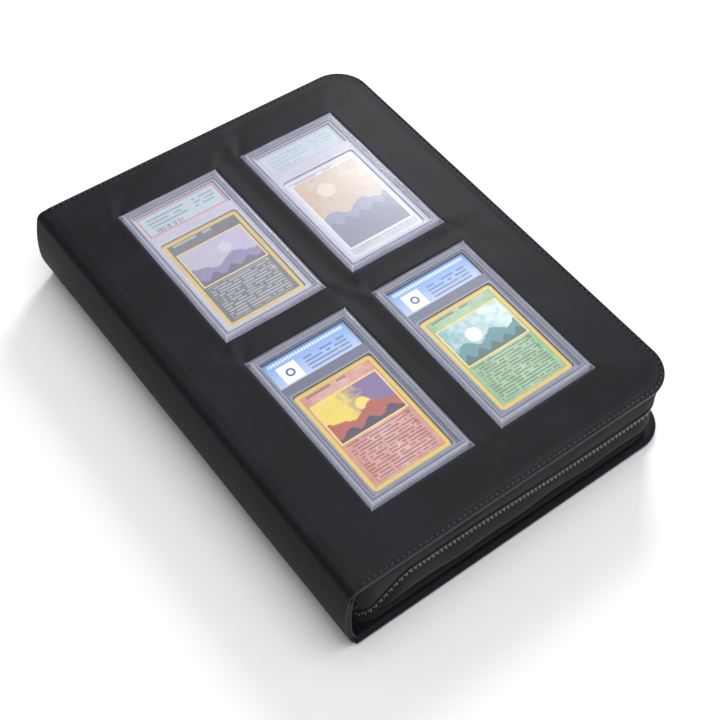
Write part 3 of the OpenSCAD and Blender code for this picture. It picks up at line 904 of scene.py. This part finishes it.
def teeth_part(side, near_start, far_end):
    """One half of the zip: rounded bars across the chain, one for each turn of the coil."""
    pitch = sizes().tooth_pitch
    points, away, height, run, _ = zip_path(0.5 * MM, near_start, far_end)
    stations = np.arange(pitch * (1 if side > 0 else 2), run[-1], 2 * pitch)
    place = sampled(stations, run, np.column_stack([points, height]))
    out = sampled(stations, run, away)
    out = np.column_stack([out / np.linalg.norm(out, axis=1, keepdims=True), np.zeros(len(out))])
    up = np.tile([0, 0, float(side)], (len(out), 1))
    place = place + up * 1.2 * MM - [0, 0, 0.3 * MM] + out * 0.45 * MM
    template, faces = capsule(5.0 * MM, 1.0 * MM, 1.9 * MM, 5, 8)
    return tooth_rows(place, up, np.cross(up, out), out, template, faces)


def loop_thread(points, up, pitch, bar, start=0.5, slant=0.0):
    """Stitches along a line of points: rounded bars, one for each pitch of the distance run, turned by a slant.
    bar is a bar's length, width and height."""
    run = run_along(points)
    stations = np.arange(pitch * start, run[-1], pitch)
    place = sampled(stations, run, points)
    ahead, behind = sampled(stations + 0.4 * MM, run, points), sampled(stations - 0.4 * MM, run, points)
    along = (ahead - behind) / np.linalg.norm(ahead - behind, axis=1, keepdims=True)
    up_now = sampled(stations, run, up)
    side = np.cross(up_now, along)
    leaning = along * math.cos(slant) + side * math.sin(slant)
    across = np.cross(up_now, leaning)
    template, faces = capsule(*bar, 5, 6)
    return tooth_rows(place, leaning, across, np.cross(leaning, across), template, faces)


def softened(points, count=40, width=5):
    """A polyline as an even run of points, rounded by a moving average. Its two ends stay where they are."""
    points = np.array(points) * MM
    run = run_along(points)
    even = sampled(np.linspace(0, run[-1], count), run, points)
    padded = np.concatenate([2 * even[:1] - even[width:0:-1], even, 2 * even[-1:] - even[-2:-width - 2:-1]])
    window = np.ones(2 * width + 1) / (2 * width + 1)
    return np.column_stack([np.convolve(column, window, "valid") for column in padded.T])


END_FOLD = ((0.9, 1.0), (0.4, 1.0), (0.05, 0.95), (0.0, 0.86), (0.25, 0.74), (0.35, 0.5), (0.35, 0.2))


def strip_part(ring, middle, half_y, rows=60):
    """A strip along y with a closed section in x and z. At each end the section shrinks towards its middle line in
    the steps of END_FOLD: a rim that stands proud, then a hollow."""
    inner = np.linspace(-half_y + 1.2 * MM, half_y - 1.2 * MM, rows)
    ends = np.array(END_FOLD)
    y = np.concatenate([-half_y + ends[::-1, 0] * MM, inner, half_y - ends[:, 0] * MM])
    close = np.concatenate([ends[::-1, 1], np.ones(rows), ends[:, 1]])
    section = middle[None] + (ring - middle)[None] * close[:, None, None]
    return stack_part(np.stack([section[..., 0], np.repeat(y[:, None], len(ring), 1), section[..., 1]], -1))


def end_highlight(half_y):
    """Painted highlight of a strip: 1 on the rim at its two ends, fading over 0.45 mm."""
    reach = 0.45 * MM

    def wear_and_highlight(points):
        end = half_y + flare_at(points[:, 2]) * (points[:, 1] < 0)
        return np.clip((np.abs(points[:, 1]) - end + reach) / reach, 0, 1) * 0.9
    return wear_and_highlight


def ribbon_part(line, thick, half_y, rows=60):
    """A strip of cloth along y whose section follows a line in x and z."""
    tangent = np.gradient(line, axis=0)
    normal = np.column_stack([-tangent[:, 1], tangent[:, 0]])
    normal /= np.linalg.norm(normal, axis=1, keepdims=True)
    ring = np.concatenate([line + normal * thick / 2, (line - normal * thick / 2)[::-1]])
    return strip_part(ring, np.concatenate([line, line[::-1]]), half_y, rows)


def turned(part, order, signs=(1, 1, 1), shift=(0, 0, 0)):
    """A part with its axes in another order, each times its sign, then moved."""
    points, faces, flat = part
    return points[:, order] * np.array(signs) + np.array(shift), faces, flat


# ---------------------------------------------------------------- operators

class BINDER_OT_front_cover(bpy.types.Operator):
    """Makes the padded leather of the front cover, with its four windows"""
    bl_idname = "binder.front_cover"
    bl_label = "Front cover leather"

    def execute(self, context):
        leather = leather_material()
        skin = piece("front_cover_skin", cover_skin_parts(), leather, "front_cover",
                     ["front_leather", "front_foam"], outward=False, wear_and_highlight=self.edge_highlight)
        aim_outwards(skin)
        return {"FINISHED"}

    def edge_highlight(self, points):
        """Painted highlight of the cover: a bell across the shoulder of its rolled edge."""
        gap = edge_gap(points[:, 0], points[:, 1])
        return np.exp(-((gap - 0.1 * MM) / (0.33 * MM)) ** 2) * (points[:, 2] > TOP - 1.9 * MM) * 0.8


def aim_outwards(item):
    """Turns every face of an open skin one way round, and all of it over if its largest flat part looks down."""
    work = bmesh.new()
    work.from_mesh(item.data)
    bmesh.ops.recalc_face_normals(work, faces=work.faces)
    high = sum(face.normal.z * face.calc_area() for face in work.faces if abs(face.normal.z) > 0.8
               and face.calc_center_median().z > TOP - 2.5 * MM)
    if high < 0:
        bmesh.ops.reverse_faces(work, faces=work.faces)
    work.to_mesh(item.data)
    work.free()


class BINDER_OT_stitches(bpy.types.Operator):
    """Makes the stitches round the front cover"""
    bl_idname = "binder.stitches"
    bl_label = "Stitches"

    def execute(self, context):
        s = sizes()
        thread = thread_material()
        gap = s.stitch_inset
        points = outline((LEFT - 60 * MM, -HALF + gap), (RIGHT - gap, HALF - gap),
                         [1 * MM, s.corner - gap, s.corner - gap, 1 * MM], 24, 120)
        points = points[(points[:, 0] > LEFT + 3 * MM)]
        jumps = np.linalg.norm(points - np.roll(points, 1, axis=0), axis=1)
        points = np.roll(points, -np.argmax(jumps), axis=0)
        line = np.column_stack([points, cover_height(points[:, 0], points[:, 1]) + 0.06 * MM])
        up = np.tile([0.0, 0.0, 1.0], (len(line), 1))
        bar = (2.6 * MM, 0.62 * MM, 0.5 * MM)
        part = loop_thread(line, up, s.stitch_pitch, bar, 0.5, math.radians(14))
        piece("front_cover_stitches", [part], thread, "front_cover", merge=False)
        # painted shade: a flat dark disc at each stitch stands for the shadow in its needle hole
        holes = loop_thread(line, up, s.stitch_pitch, (1.25 * MM, 1.0 * MM, 0.22 * MM), 1.0)
        piece("front_cover_needle_holes", [holes], hole_shade_material(), "front_cover", merge=False)
        return {"FINISHED"}


class BINDER_OT_spine(bpy.types.Operator):
    """Makes the bowed spine and the strips of leather and lining that hinge the covers to it"""
    bl_idname = "binder.spine"
    bl_label = "Spine and hinges"

    def execute(self, context):
        s = sizes()
        leather = bpy.data.materials["binder leather"]
        lining = lining_material()
        low, high, half_y = 7.6 * MM, 60.4 * MM, HALF
        t = np.linspace(-1, 1, 25)
        height = (low + high) / 2 + (high - low) / 2 * t
        bow = s.spine_bow * (1 - t ** 2)
        outer, inner = -140.7 * MM - bow, -136.2 * MM - 0.8 * bow
        ring = np.concatenate([np.column_stack([outer, height]), np.column_stack([inner, height])[::-1]])
        centre = np.column_stack([(outer + inner) / 2, height])
        part = strip_part(ring, np.concatenate([centre, centre[::-1]]), half_y, 90)
        waves = 0.22 * MM * np.sin(part[0][:, 1] / (21 * MM)) * np.sin((part[0][:, 2] - low) / (high - low) * math.pi)
        part[0][:, 0] -= np.where(part[0][:, 0] < -140.5 * MM, waves, 0)
        tuck_under(part[0])
        spine = piece("spine_skin", [part], leather, "spine",
                      ["spine_leather", "spine_board", "spine_lining"], wear_and_highlight=end_highlight(half_y))
        outside = np.array([(-132.6, 66.6), (-134.4, 66.9), (-135.8, 66.75), (-137.2, 66.2), (-138.5, 65.3),
                            (-139.7, 63.9), (-140.4, 62.2), (-140.75, 60.4), (-141.4, 57.5)])
        inside = np.array([(-132.6, 63.8), (-133.6, 63.9), (-134.6, 63.7), (-135.4, 63.3), (-136.0, 62.7),
                           (-136.2, 61.8), (-136.3, 60.6), (-136.5, 59.2), (-136.9, 57.5)])
        upper = softened(outside, 40, 2), softened(inside, 40, 2)
        lower = [curve * (1, -1) + (0, TOP) for curve in upper]
        for cover, curves in (("front_cover", upper), ("back_cover", lower)):
            ring = np.concatenate([curves[0], curves[1][::-1]])
            middle = (curves[0] + curves[1]) / 2
            part = strip_part(ring, np.concatenate([middle, middle[::-1]]), half_y, 90)
            tuck_under(part[0])
            strip = piece(f"hinge_leather_{cover}", [part], leather, None, wear_and_highlight=end_highlight(half_y))
            self.hinge(strip, cover)
        for cover, level, rise in (("front_cover", 61.9, -1), ("back_cover", 5.55, 1)):
            line = softened([(-130.0, level), (-134.4, level), (-135.8, level + rise * 0.8),
                             (-136.5, level + rise * 2.4), (-137.2, level + rise * 6)], 32, 3)
            strip = piece(f"hinge_lining_{cover}", [ribbon_part(line, 0.5 * MM, HALF - 14 * MM, 60)], lining, None)
            self.hinge(strip, cover)
        return {"FINISHED"}

    def hinge(self, strip, cover):
        """Bakes a strip's place into its mesh between the spine and a cover. The points where it would bend are worked
        out but not used, so the strip is not bent.
        """
        level, side = (65, 1) if cover == "front_cover" else (3, -1)
        on_spine = (-141.6 * MM, 0, (level - 2.6 * side) * MM)
        on_cover = (-136.4 * MM, 0, (level + 1.2 * side) * MM)
        if side > 0:
            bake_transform(strip)
        else:
            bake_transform(strip)


class BINDER_OT_windows(bpy.types.Operator):
    """Makes the four clear films that hold the card cases"""
    bl_idname = "binder.windows"
    bl_label = "Window films"

    def execute(self, context):
        random = np.random.default_rng(sizes().seed + 1)
        # partly the film's milkiness and partly painted glare of the far light, larger on windows 1 and 2
        haze_and_glare = {1: 0.15, 2: 0.17, 3: 0.04, 4: 0.05}
        for n, (low, high) in WINDOWS.items():
            low_x, low_y = low[:2] - 0.9 * MM
            high_x, high_y = high[:2] + 0.9 * MM
            rim = np.array([0, 0.5, 0.95, 1.4, 1.9, 2.4, 2.9, 3.4, 3.9, 4.4, 4.9, 5.6]) * MM
            x, y = (np.concatenate([a + rim, lines_between([a + 6.4 * MM, b - 6.4 * MM], 2.6 * MM), b - rim[::-1]])
                    for a, b in ((low_x, high_x), (low_y, high_y)))
            gx, gy = np.meshgrid(x, y, indexing="ij")
            to_x = np.minimum(gx - low_x, high_x - gx) / (3.7 * MM)
            to_y = np.minimum(gy - low_y, high_y - gy) / (4.7 * MM)
            rise = np.clip(np.minimum(to_x, to_y), 0, 1)
            phase = random.uniform(0, 6, 4)
            ripple = 0.22 * MM * np.sin(gy / (9 * MM) + phase[0]) * np.exp(-((to_x - 0.7) / 0.5) ** 2)
            ripple += 0.22 * MM * np.sin(gx / (7 * MM) + phase[1]) * np.exp(-((to_y - 0.7) / 0.5) ** 2)
            slack = 0.10 * MM * np.sin(gx / (19 * MM) + phase[2]) * np.sin(gy / (26 * MM) + phase[3])
            base = low[2] + 0.05 * MM
            gz = base + (high[2] + 0.02 * MM - base) * np.sin(math.pi / 2 * rise) ** 0.85 + ripple * rise
            gz += (slack + 0.12 * MM) * (rise >= 1)
            film = window_film_material(n, haze_and_glare[n])
            sheet = piece(f"window_{n}_film", [grid_part(np.stack([gx, gy, gz], -1))], film, "front_cover",
                          [f"window_film_{n}"])
            aim_up(sheet)
            high_x - low_x + 2.4 * MM
            high_y - low_y + 2.4 * MM
        return {"FINISHED"}


def aim_up(item):
    """Turns an open sheet over if it looks down."""
    mesh = item.data
    if sum(face.normal.z * face.area for face in mesh.polygons) < 0:
        mesh.flip_normals()


class BINDER_OT_cases(bpy.types.Operator):
    """Makes the two clear halves of each card case"""
    bl_idname = "binder.cases"
    bl_label = "Card cases"

    def execute(self, context):
        s = sizes()
        for n, (low, high) in CASES.items():
            plastic = case_material(n)
            top, split = high[2], extent(f"case_{n}_inner_frame")[0][2]
            bevel = s.case_bevel
            front = [(5.0 * MM, split + 1.65 * MM), (5.0 * MM, split + 0.02 * MM), (0.2 * MM, split + 0.02 * MM),
                     (0, split + 0.25 * MM), (0, top - bevel * 0.95), (0.25 * MM, top - bevel * 0.7),
                     (bevel * 0.8, top - 0.16 * MM), (bevel * 1.15, top), (4.3 * MM, top), (4.6 * MM, top - 0.3 * MM),
                     (5.3 * MM, top - 0.34 * MM), (5.7 * MM, top - 0.04 * MM), (7 * MM, top - 0.02 * MM)]
            back = [(1.6 * MM, low[2]), (0.5 * MM, low[2] + 0.15 * MM), (0, low[2] + 0.7 * MM),
                    (0, split - 0.25 * MM), (0.25 * MM, split - 0.04 * MM)]
            for name, profile in (("front", front), ("back", back)):
                piece(f"case_{n}_{name}_half", [plate_part(low, high, [4 * MM] * 4, profile)], plastic, "front_cover",
                      [f"case_{n}_{name}_shell"], smooth=False)
        return {"FINISHED"}


class BINDER_OT_cards(bpy.types.Operator):
    """Paints the cards, their labels and the frames that hold them"""
    bl_idname = "binder.cards"
    bl_label = "Cards and labels"

    def execute(self, context):
        yellow = tuple(colours().yellow)
        dusk = ((0.52, 0.50, 0.56), (0.52, 0.46, 0.66), (0.26, 0.22, 0.36), (0.12, 0.10, 0.16),
                (6 * MM, 6 * MM, 5 * MM, (0.62, 0.60, 0.64)), 31 * MM, 0.5)
        noon = ((0.58, 0.38, 0.20), (0.58, 0.52, 0.44), (0.24, 0.26, 0.36), (0.15, 0.17, 0.24),
                (-8 * MM, 20 * MM, 7 * MM, (0.70, 0.62, 0.48)), 27 * MM, 0.2)
        sunset = ((0.80, 0.62, 0.10), (0.20, 0.14, 0.30), (0.42, 0.10, 0.06), (0.06, 0.05, 0.09),
                  (4 * MM, 1 * MM, 5 * MM, (0.92, 0.66, 0.16)), 36 * MM, 1.3)
        shore = ((0.20, 0.42, 0.46), (0.66, 0.80, 0.78), (0.10, 0.26, 0.28), (0.05, 0.14, 0.12),
                 (-6 * MM, 2 * MM, 6 * MM, (0.84, 0.90, 0.80)), 24 * MM, 0.3)
        prints = {1: (yellow, (0.13, 0.14, 0.14), (0.22, 0.24, 0.22), (0.62, 0.62, 0.58), dusk, (0, 13, 26, 17)),
                  2: ((0.66, 0.68, 0.70), (0.60, 0.60, 0.64), (0.68, 0.68, 0.70), (0.22, 0.20, 0.26), noon,
                      (0, 2, 27.5, 36)),
                  3: (yellow, (0.66, 0.20, 0.13), (0.78, 0.66, 0.64), (0.10, 0.03, 0.04), sunset, (0, 14, 26, 17)),
                  4: (yellow, (0.22, 0.45, 0.20), (0.62, 0.74, 0.57), (0.02, 0.06, 0.05), shore, (0, 14, 26, 17))}
        for n, print_ in prints.items():
            paint_node(f"case_{n}_card", card_material(n, *print_))
            paint_node(f"case_{n}_label", red_label_material(n) if n < 3 else blue_label_material(n))
            paint_node(f"case_{n}_inner_frame", inner_frame_material(n))
        return {"FINISHED"}


def paint_node(node, material):
    """Gives a CAD node another material and leaves its shape alone."""
    for slot in frame["nodes"][node].material_slots:
        slot.material = material


class BINDER_OT_gusset(bpy.types.Operator):
    """Makes the cloth walls of the gusset, which sag between the covers and the zip"""
    bl_idname = "binder.gusset"
    bl_label = "Gusset"

    def execute(self, context):
        base = np.array(colours().cloth)
        points, away, height, run, bulge = zip_path(3 * MM)
        random = np.random.default_rng(sizes().seed + 2)
        fold = sum(random.uniform(0.2, 0.5) * MM * np.sin(run / (width * MM) + random.uniform(0, 6))
                   for width in (9, 17, 29, 47))
        tape = sizes().tape_width
        flat = np.full(len(run), 1.0)
        sag = 1.3 * MM + 0.5 * bulge + fold * 0.8
        upper = wall_section(18, flat * 62.3 * MM, height + tape + 0.4 * MM, 2.4 * MM - bulge, flat * 0.9 * MM,
                             0.8 * MM + fold * 0.8, 0.45, 1.1 * MM)
        lower = wall_section(24, np.maximum(height - tape - 0.4 * MM, 12.4 * MM), flat * 11.6 * MM, flat * 0.8 * MM,
                             0.7 * MM - 0.9 * bulge, sag * ease((height - 18 * MM) / (9 * MM)), 0.55, 1.1 * MM, FLANGE)
        # painted light and shade: one cloth, darkened to 0.6 on the upper wall under the front cover and lightened to
        # 1.7 on the lower wall
        for name, section, body, tone in (("upper", upper, "front_cover", 0.6), ("lower", lower, "back_cover", 1.7)):
            cloth = cloth_material(f"gusset {name} cloth", base * tone, 0.85 * MM, 0.12)
            wall = piece(f"gusset_{name}_cloth", [swept(points, away, section)], cloth, body,
                         [f"gusset_{name}"])
        return {"FINISHED"}


class BINDER_OT_zip(bpy.types.Operator):
    """Makes the zip's two tapes and its teeth, and paints the stops at its ends"""
    bl_idname = "binder.zip"
    bl_label = "Zip"

    def execute(self, context):
        s = sizes()
        cloth = cloth_material("zip tape cloth", np.array(colours().cloth) * 0.9, 0.7 * MM, 0.08)
        nylon = coil_material()
        points, away, height, _, _ = zip_path(2 * MM)
        for name, side, body, far in (("upper", 1, "front_cover", -106), ("lower", -1, "back_cover", -130)):
            t = np.linspace(0, 1, 12)[None, :]
            first, last = (3.5 if side > 0 else 3.4) * MM, s.tape_width + 2.4 * MM
            level = height[:, None] + side * (first + (last - first) * t)
            level = np.maximum(level, (12.0 - 2 * t) * MM if side < 0 else 0)
            out = 0.3 * MM * np.sin(math.pi * t) + 0.55 * MM * t + 0 * level
            out = out + (1.5 * MM * np.exp(-(t / 0.2) ** 2) if side > 0 else 0)
            ring = np.concatenate([out, out[:, ::-1] - 0.6 * MM], 1), np.concatenate([level, level[:, ::-1]], 1)
            tape = piece(f"tape_{name}_cloth", [swept(points, away, ring)], cloth, body,
                         [f"zip_tape_{name}"])
            piece(f"coil_{name}_teeth", [teeth_part(side, -128 * MM, (far - 2) * MM)], nylon, body,
                  [f"zip_coil_{name}"], merge=False)
        paint_node("zip_stops", cloth)
        return {"FINISHED"}


class BINDER_OT_slider(bpy.types.Operator):
    """Makes the zip's slider and its pull tab"""
    bl_idname = "binder.slider"
    bl_label = "Slider and pull"

    def execute(self, context):
        enamel = metal_material()
        centre = (SLIDER_X, ZIP_Y, PIVOT[2])
        parts = []
        for first, last in ((1.6, 2.6), (-2.6, -1.6)):
            plate = plate_part((-6 * MM, -4.6 * MM), (6 * MM, 4.6 * MM), [2.6 * MM] * 4,
                               round_edge(first * MM, last * MM, 0.35 * MM), 8)
            parts.append(turned(plate, [0, 2, 1], (1, 1, -1), centre))
        neck = plate_part((-5.2 * MM, -0.2 * MM), (-3.0 * MM, 0.2 * MM), [0.19 * MM] * 4,
                          [(0, -1.8 * MM), (0, 1.8 * MM)], 4)
        parts.append(turned(neck, [0, 2, 1], (1, 1, -1), centre))
        turn = np.linspace(0, math.pi, 15)
        line = np.column_stack([4.2 * MM * np.cos(turn), 2.4 * MM + 3.1 * MM * np.sin(turn) ** 0.7])
        tangent = np.gradient(line, axis=0)
        tangent /= np.linalg.norm(tangent, axis=1, keepdims=True)
        around = np.linspace(0, 2 * math.pi, 10, endpoint=False)
        ring_out = 0.45 * MM * np.cos(around)
        rings = np.stack([line[:, None, 0] - tangent[:, None, 1] * ring_out[None],
                          line[:, None, 1] + tangent[:, None, 0] * ring_out[None],
                          np.repeat(1.1 * MM * np.sin(around)[None], len(line), 0)], -1)
        parts.append(turned(stack_part(rings), [0, 1, 2], (1, 1, 1), centre))
        piece("slider_shell", parts, enamel, "zip_slider", ["slider_body"], merge=False)
        low, high = extent("slider_pull")
        piece("pull_tab", [self.tab(low, high)], enamel, "zip_pull", ["slider_pull"])
        return {"FINISHED"}

    def tab(self, low, high):
        """A flat tab with round ends and an eye: rings run from the eye's edge out to the rim, over it and back.
        Each ring is the eye's circle mixed with the tab's outline by a fraction."""
        count = 48
        size = (high - low)[[0, 2]] / 2
        middle = (high + low)[[0, 2]] / 2
        turn = np.linspace(0, 2 * math.pi, count, endpoint=False)
        ray = np.stack([np.cos(turn), np.sin(turn)], -1)
        eye = np.array([PIVOT[0], PIVOT[2]])
        power = (np.abs(ray) ** 4).sum(1) ** -0.25
        rim = middle + ray * power[:, None] * size
        hole = eye + 1.6 * MM * ray
        mid_y, half_y = (low[1] + high[1]) / 2, (high[1] - low[1]) / 2
        profile = ((0, -0.8), (0.06, -1), (0.8, -0.75), (0.88, -1), (0.96, -1), (1, -0.5), (1, 0.5), (0.96, 1),
                   (0.88, 1), (0.8, 0.75), (0.06, 1), (0, 0.8))
        rings = []
        for blend, level in profile:
            ring = hole + (rim - hole) * blend
            rings.append(np.column_stack([ring[:, 0], np.full(count, mid_y + half_y * level), ring[:, 1]]))
        return grid_part(np.array(rings), close_rows=True, close_cols=True)


class BINDER_OT_back_cover(bpy.types.Operator):
    """Makes the padded leather of the back cover, folded in over its edge"""
    bl_idname = "binder.back_cover"
    bl_label = "Back cover leather"

    def execute(self, context):
        s = sizes()
        leather = bpy.data.materials["binder leather"]
        low, high = BACK_LOW, BACK_HIGH
        base = low[2]
        profile = [(12, base), (9, base), (4.5, base + 0.02 * MM), (2.2, base + 0.25 * MM), (0.9, base + 0.85 * MM),
                   (0.2, base + 1.8 * MM), (0, base + 2.9 * MM), (0.15, base + 4.1 * MM), (0.8, base + 5.2 * MM),
                   (1.9, base + 5.9 * MM), (3.2, base + 6.1 * MM), (5.0, base + 5.9 * MM), (7.4, base + 5.65 * MM),
                   (9.5, base + 5.55 * MM), (11.0, base + 5.5 * MM)]
        radii = [1.2 * MM, s.corner, s.corner, 1.2 * MM]
        rings = []
        for inset, height in profile:
            gap = inset * MM
            shrunk = [max(r - gap, 0.05 * MM) for r in radii]
            first = np.array(low[:2]) + np.array([min(gap, 1.2 * MM), gap])
            ring = outline(first, np.array(high[:2]) - gap, shrunk, 20, 60)
            rings.append(np.column_stack([ring, np.full(len(ring), height)]))
        rings = np.array(rings)
        flare(rings)
        skin = piece("back_cover_skin", [stack_part(rings, True, False)], leather, "back_cover",
                     ["back_leather", "back_foam"], outward=False, wear_and_highlight=self.edge_highlight)
        aim_from(skin, np.array([0, 0, 3 * MM]))
        return {"FINISHED"}

    def edge_highlight(self, points):
        """Painted highlight of the back cover: a bell in height round its lowest edge."""
        gap = edge_gap(points[:, 0], points[:, 1], BACK_HIGH[0], BACK_HIGH[1])
        return np.exp(-((points[:, 2] - 1.0 * MM) / (0.45 * MM)) ** 2) * (gap < 1.5 * MM) * 0.7


def aim_from(item, inside):
    """Turns an open shell over if more of it faces a point inside it than faces away."""
    mesh = item.data
    away = sum((face.center - Vector(inside)).dot(face.normal) * face.area for face in mesh.polygons)
    if away < 0:
        mesh.flip_normals()


class BINDER_OT_inside(bpy.types.Operator):
    """Paints the foam, boards, linings and pocket backs that lie inside the covers"""
    bl_idname = "binder.inside"
    bl_label = "Foam, boards and linings"

    def execute(self, context):
        foam = soft_core_material("foam", (0.12, 0.12, 0.13), 1.2 * MM)
        board = soft_core_material("board", (0.22, 0.20, 0.17), 3 * MM)
        lining = bpy.data.materials["lining cloth"]
        for name in frame["nodes"]:
            if name.endswith("_foam"):
                paint_node(name, foam)
            elif name.endswith("_board"):
                paint_node(name, board)
            elif name.endswith("_lining") or name in ("pocket_backs", "leaf_binding"):
                paint_node(name, lining)
        return {"FINISHED"}


class BINDER_OT_leaves(bpy.types.Operator):
    """Paints the six leaves: their sheets and the clear pockets on them"""
    bl_idname = "binder.leaves"
    bl_label = "Leaves and pockets"

    def execute(self, context):
        sheet_material = leaf_material()
        film = pocket_film_material()
        for n in range(1, LEAF_COUNT + 1):
            paint_node(f"leaf_{n}_sheet", sheet_material)
            paint_node(f"leaf_{n}_pockets", film)
        return {"FINISHED"}


class BINDER_OT_stage(bpy.types.Operator):
    """Makes the floor, the lights, the surroundings and the camera"""
    bl_idname = "binder.stage"
    bl_label = "Stage"

    def execute(self, context):
        scene = context.scene
        side = np.linspace(-6, 6, 3)
        gx, gy = np.meshgrid(side, side, indexing="ij")
        paint = Paint("pale floor", Roughness=0.75)
        paint.set(Base_Color=(0.90, 0.90, 0.905, 1))
        mesh = bpy.data.meshes.new("floor")
        points = np.stack([gx, gy, gx * 0 - 0.05 * MM], -1).reshape(-1, 3)
        mesh.from_pydata(points.tolist(), [], quads(3, 3).tolist())
        mesh.materials.append(paint.material)
        floor = bpy.data.objects.new("floor", mesh)
        scene.collection.objects.link(floor)
        aim_up(floor)
        world = bpy.data.worlds.new("soft room")
        world.use_nodes = True
        backdrop = world.node_tree.nodes["Background"].inputs
        backdrop["Color"].default_value, backdrop["Strength"].default_value = (0.97, 0.98, 1.0, 1), 0.50
        scene.world = world
        self.light("far window", (0.98, 0.90, 1.02), (0.08, 0.06, 0.07), 0.42, 15)
        self.light("top softbox", (0.15, -0.30, 1.9), (0.0, 0.0, 0.0), 1.5, 22)
        scene.view_settings.view_transform = "Standard"
        eye, aim = Vector((-0.3823, -0.4711, 0.8055)), Vector((-0.0313, -0.0543, 0.0715))
        lens = bpy.data.cameras.new("camera")
        lens.lens, lens.sensor_width, lens.clip_start = 68.455, 36, 0.01
        camera = bpy.data.objects.new("camera", lens)
        roll = Matrix.Rotation(0.063, 4, "Z")
        look = (aim - eye).to_track_quat("-Z", "Y").to_matrix().to_4x4()
        camera.matrix_world = Matrix.Translation(eye) @ look @ roll
        scene.collection.objects.link(camera)
        scene.camera = camera
        return {"FINISHED"}

    def light(self, name, place, aim, size, power):
        """A square area light that looks at a point."""
        lamp = bpy.data.lights.new(name, "AREA")
        lamp.size, lamp.energy = size, power
        item = bpy.data.objects.new(name, lamp)
        item.location = place
        item.rotation_euler = (Vector(aim) - Vector(place)).to_track_quat("-Z", "Y").to_euler()
        bpy.context.scene.collection.objects.link(item)


# ---------------------------------------------------------------- sidebar and registration

OPERATORS = (BINDER_OT_front_cover, BINDER_OT_stitches, BINDER_OT_spine, BINDER_OT_windows, BINDER_OT_cases,
             BINDER_OT_cards, BINDER_OT_gusset, BINDER_OT_zip, BINDER_OT_slider, BINDER_OT_back_cover,
             BINDER_OT_inside, BINDER_OT_leaves, BINDER_OT_stage)


class BINDER_PT_panel(bpy.types.Panel):
    """Lists the binder's pieces, sizes and colours"""
    bl_idname = "BINDER_PT_panel"
    bl_label = "Card binder"
    bl_space_type = "VIEW_3D"
    bl_region_type = "UI"
    bl_category = "Binder"

    def draw(self, context):
        for group in (context.scene.binder_sizes, context.scene.binder_colours):
            box = self.layout.box()
            for name in group.__annotations__:
                box.prop(group, name)
        for operator in OPERATORS:
            self.layout.operator(operator.bl_idname)


CLASSES = (BinderSizes, BinderColours, *OPERATORS, BINDER_PT_panel)


def register():
    for item in CLASSES:
        bpy.utils.register_class(item)
    bpy.types.Scene.binder_sizes = PointerProperty(type=BinderSizes)
    bpy.types.Scene.binder_colours = PointerProperty(type=BinderColours)


def unregister():
    del bpy.types.Scene.binder_colours
    del bpy.types.Scene.binder_sizes
    for item in reversed(CLASSES):
        bpy.utils.unregister_class(item)


def main():
    register()
    for operator in OPERATORS:
        family, name = operator.bl_idname.split(".")
        getattr(getattr(bpy.ops, family), name)()


if __name__ == "__main__":
    main()
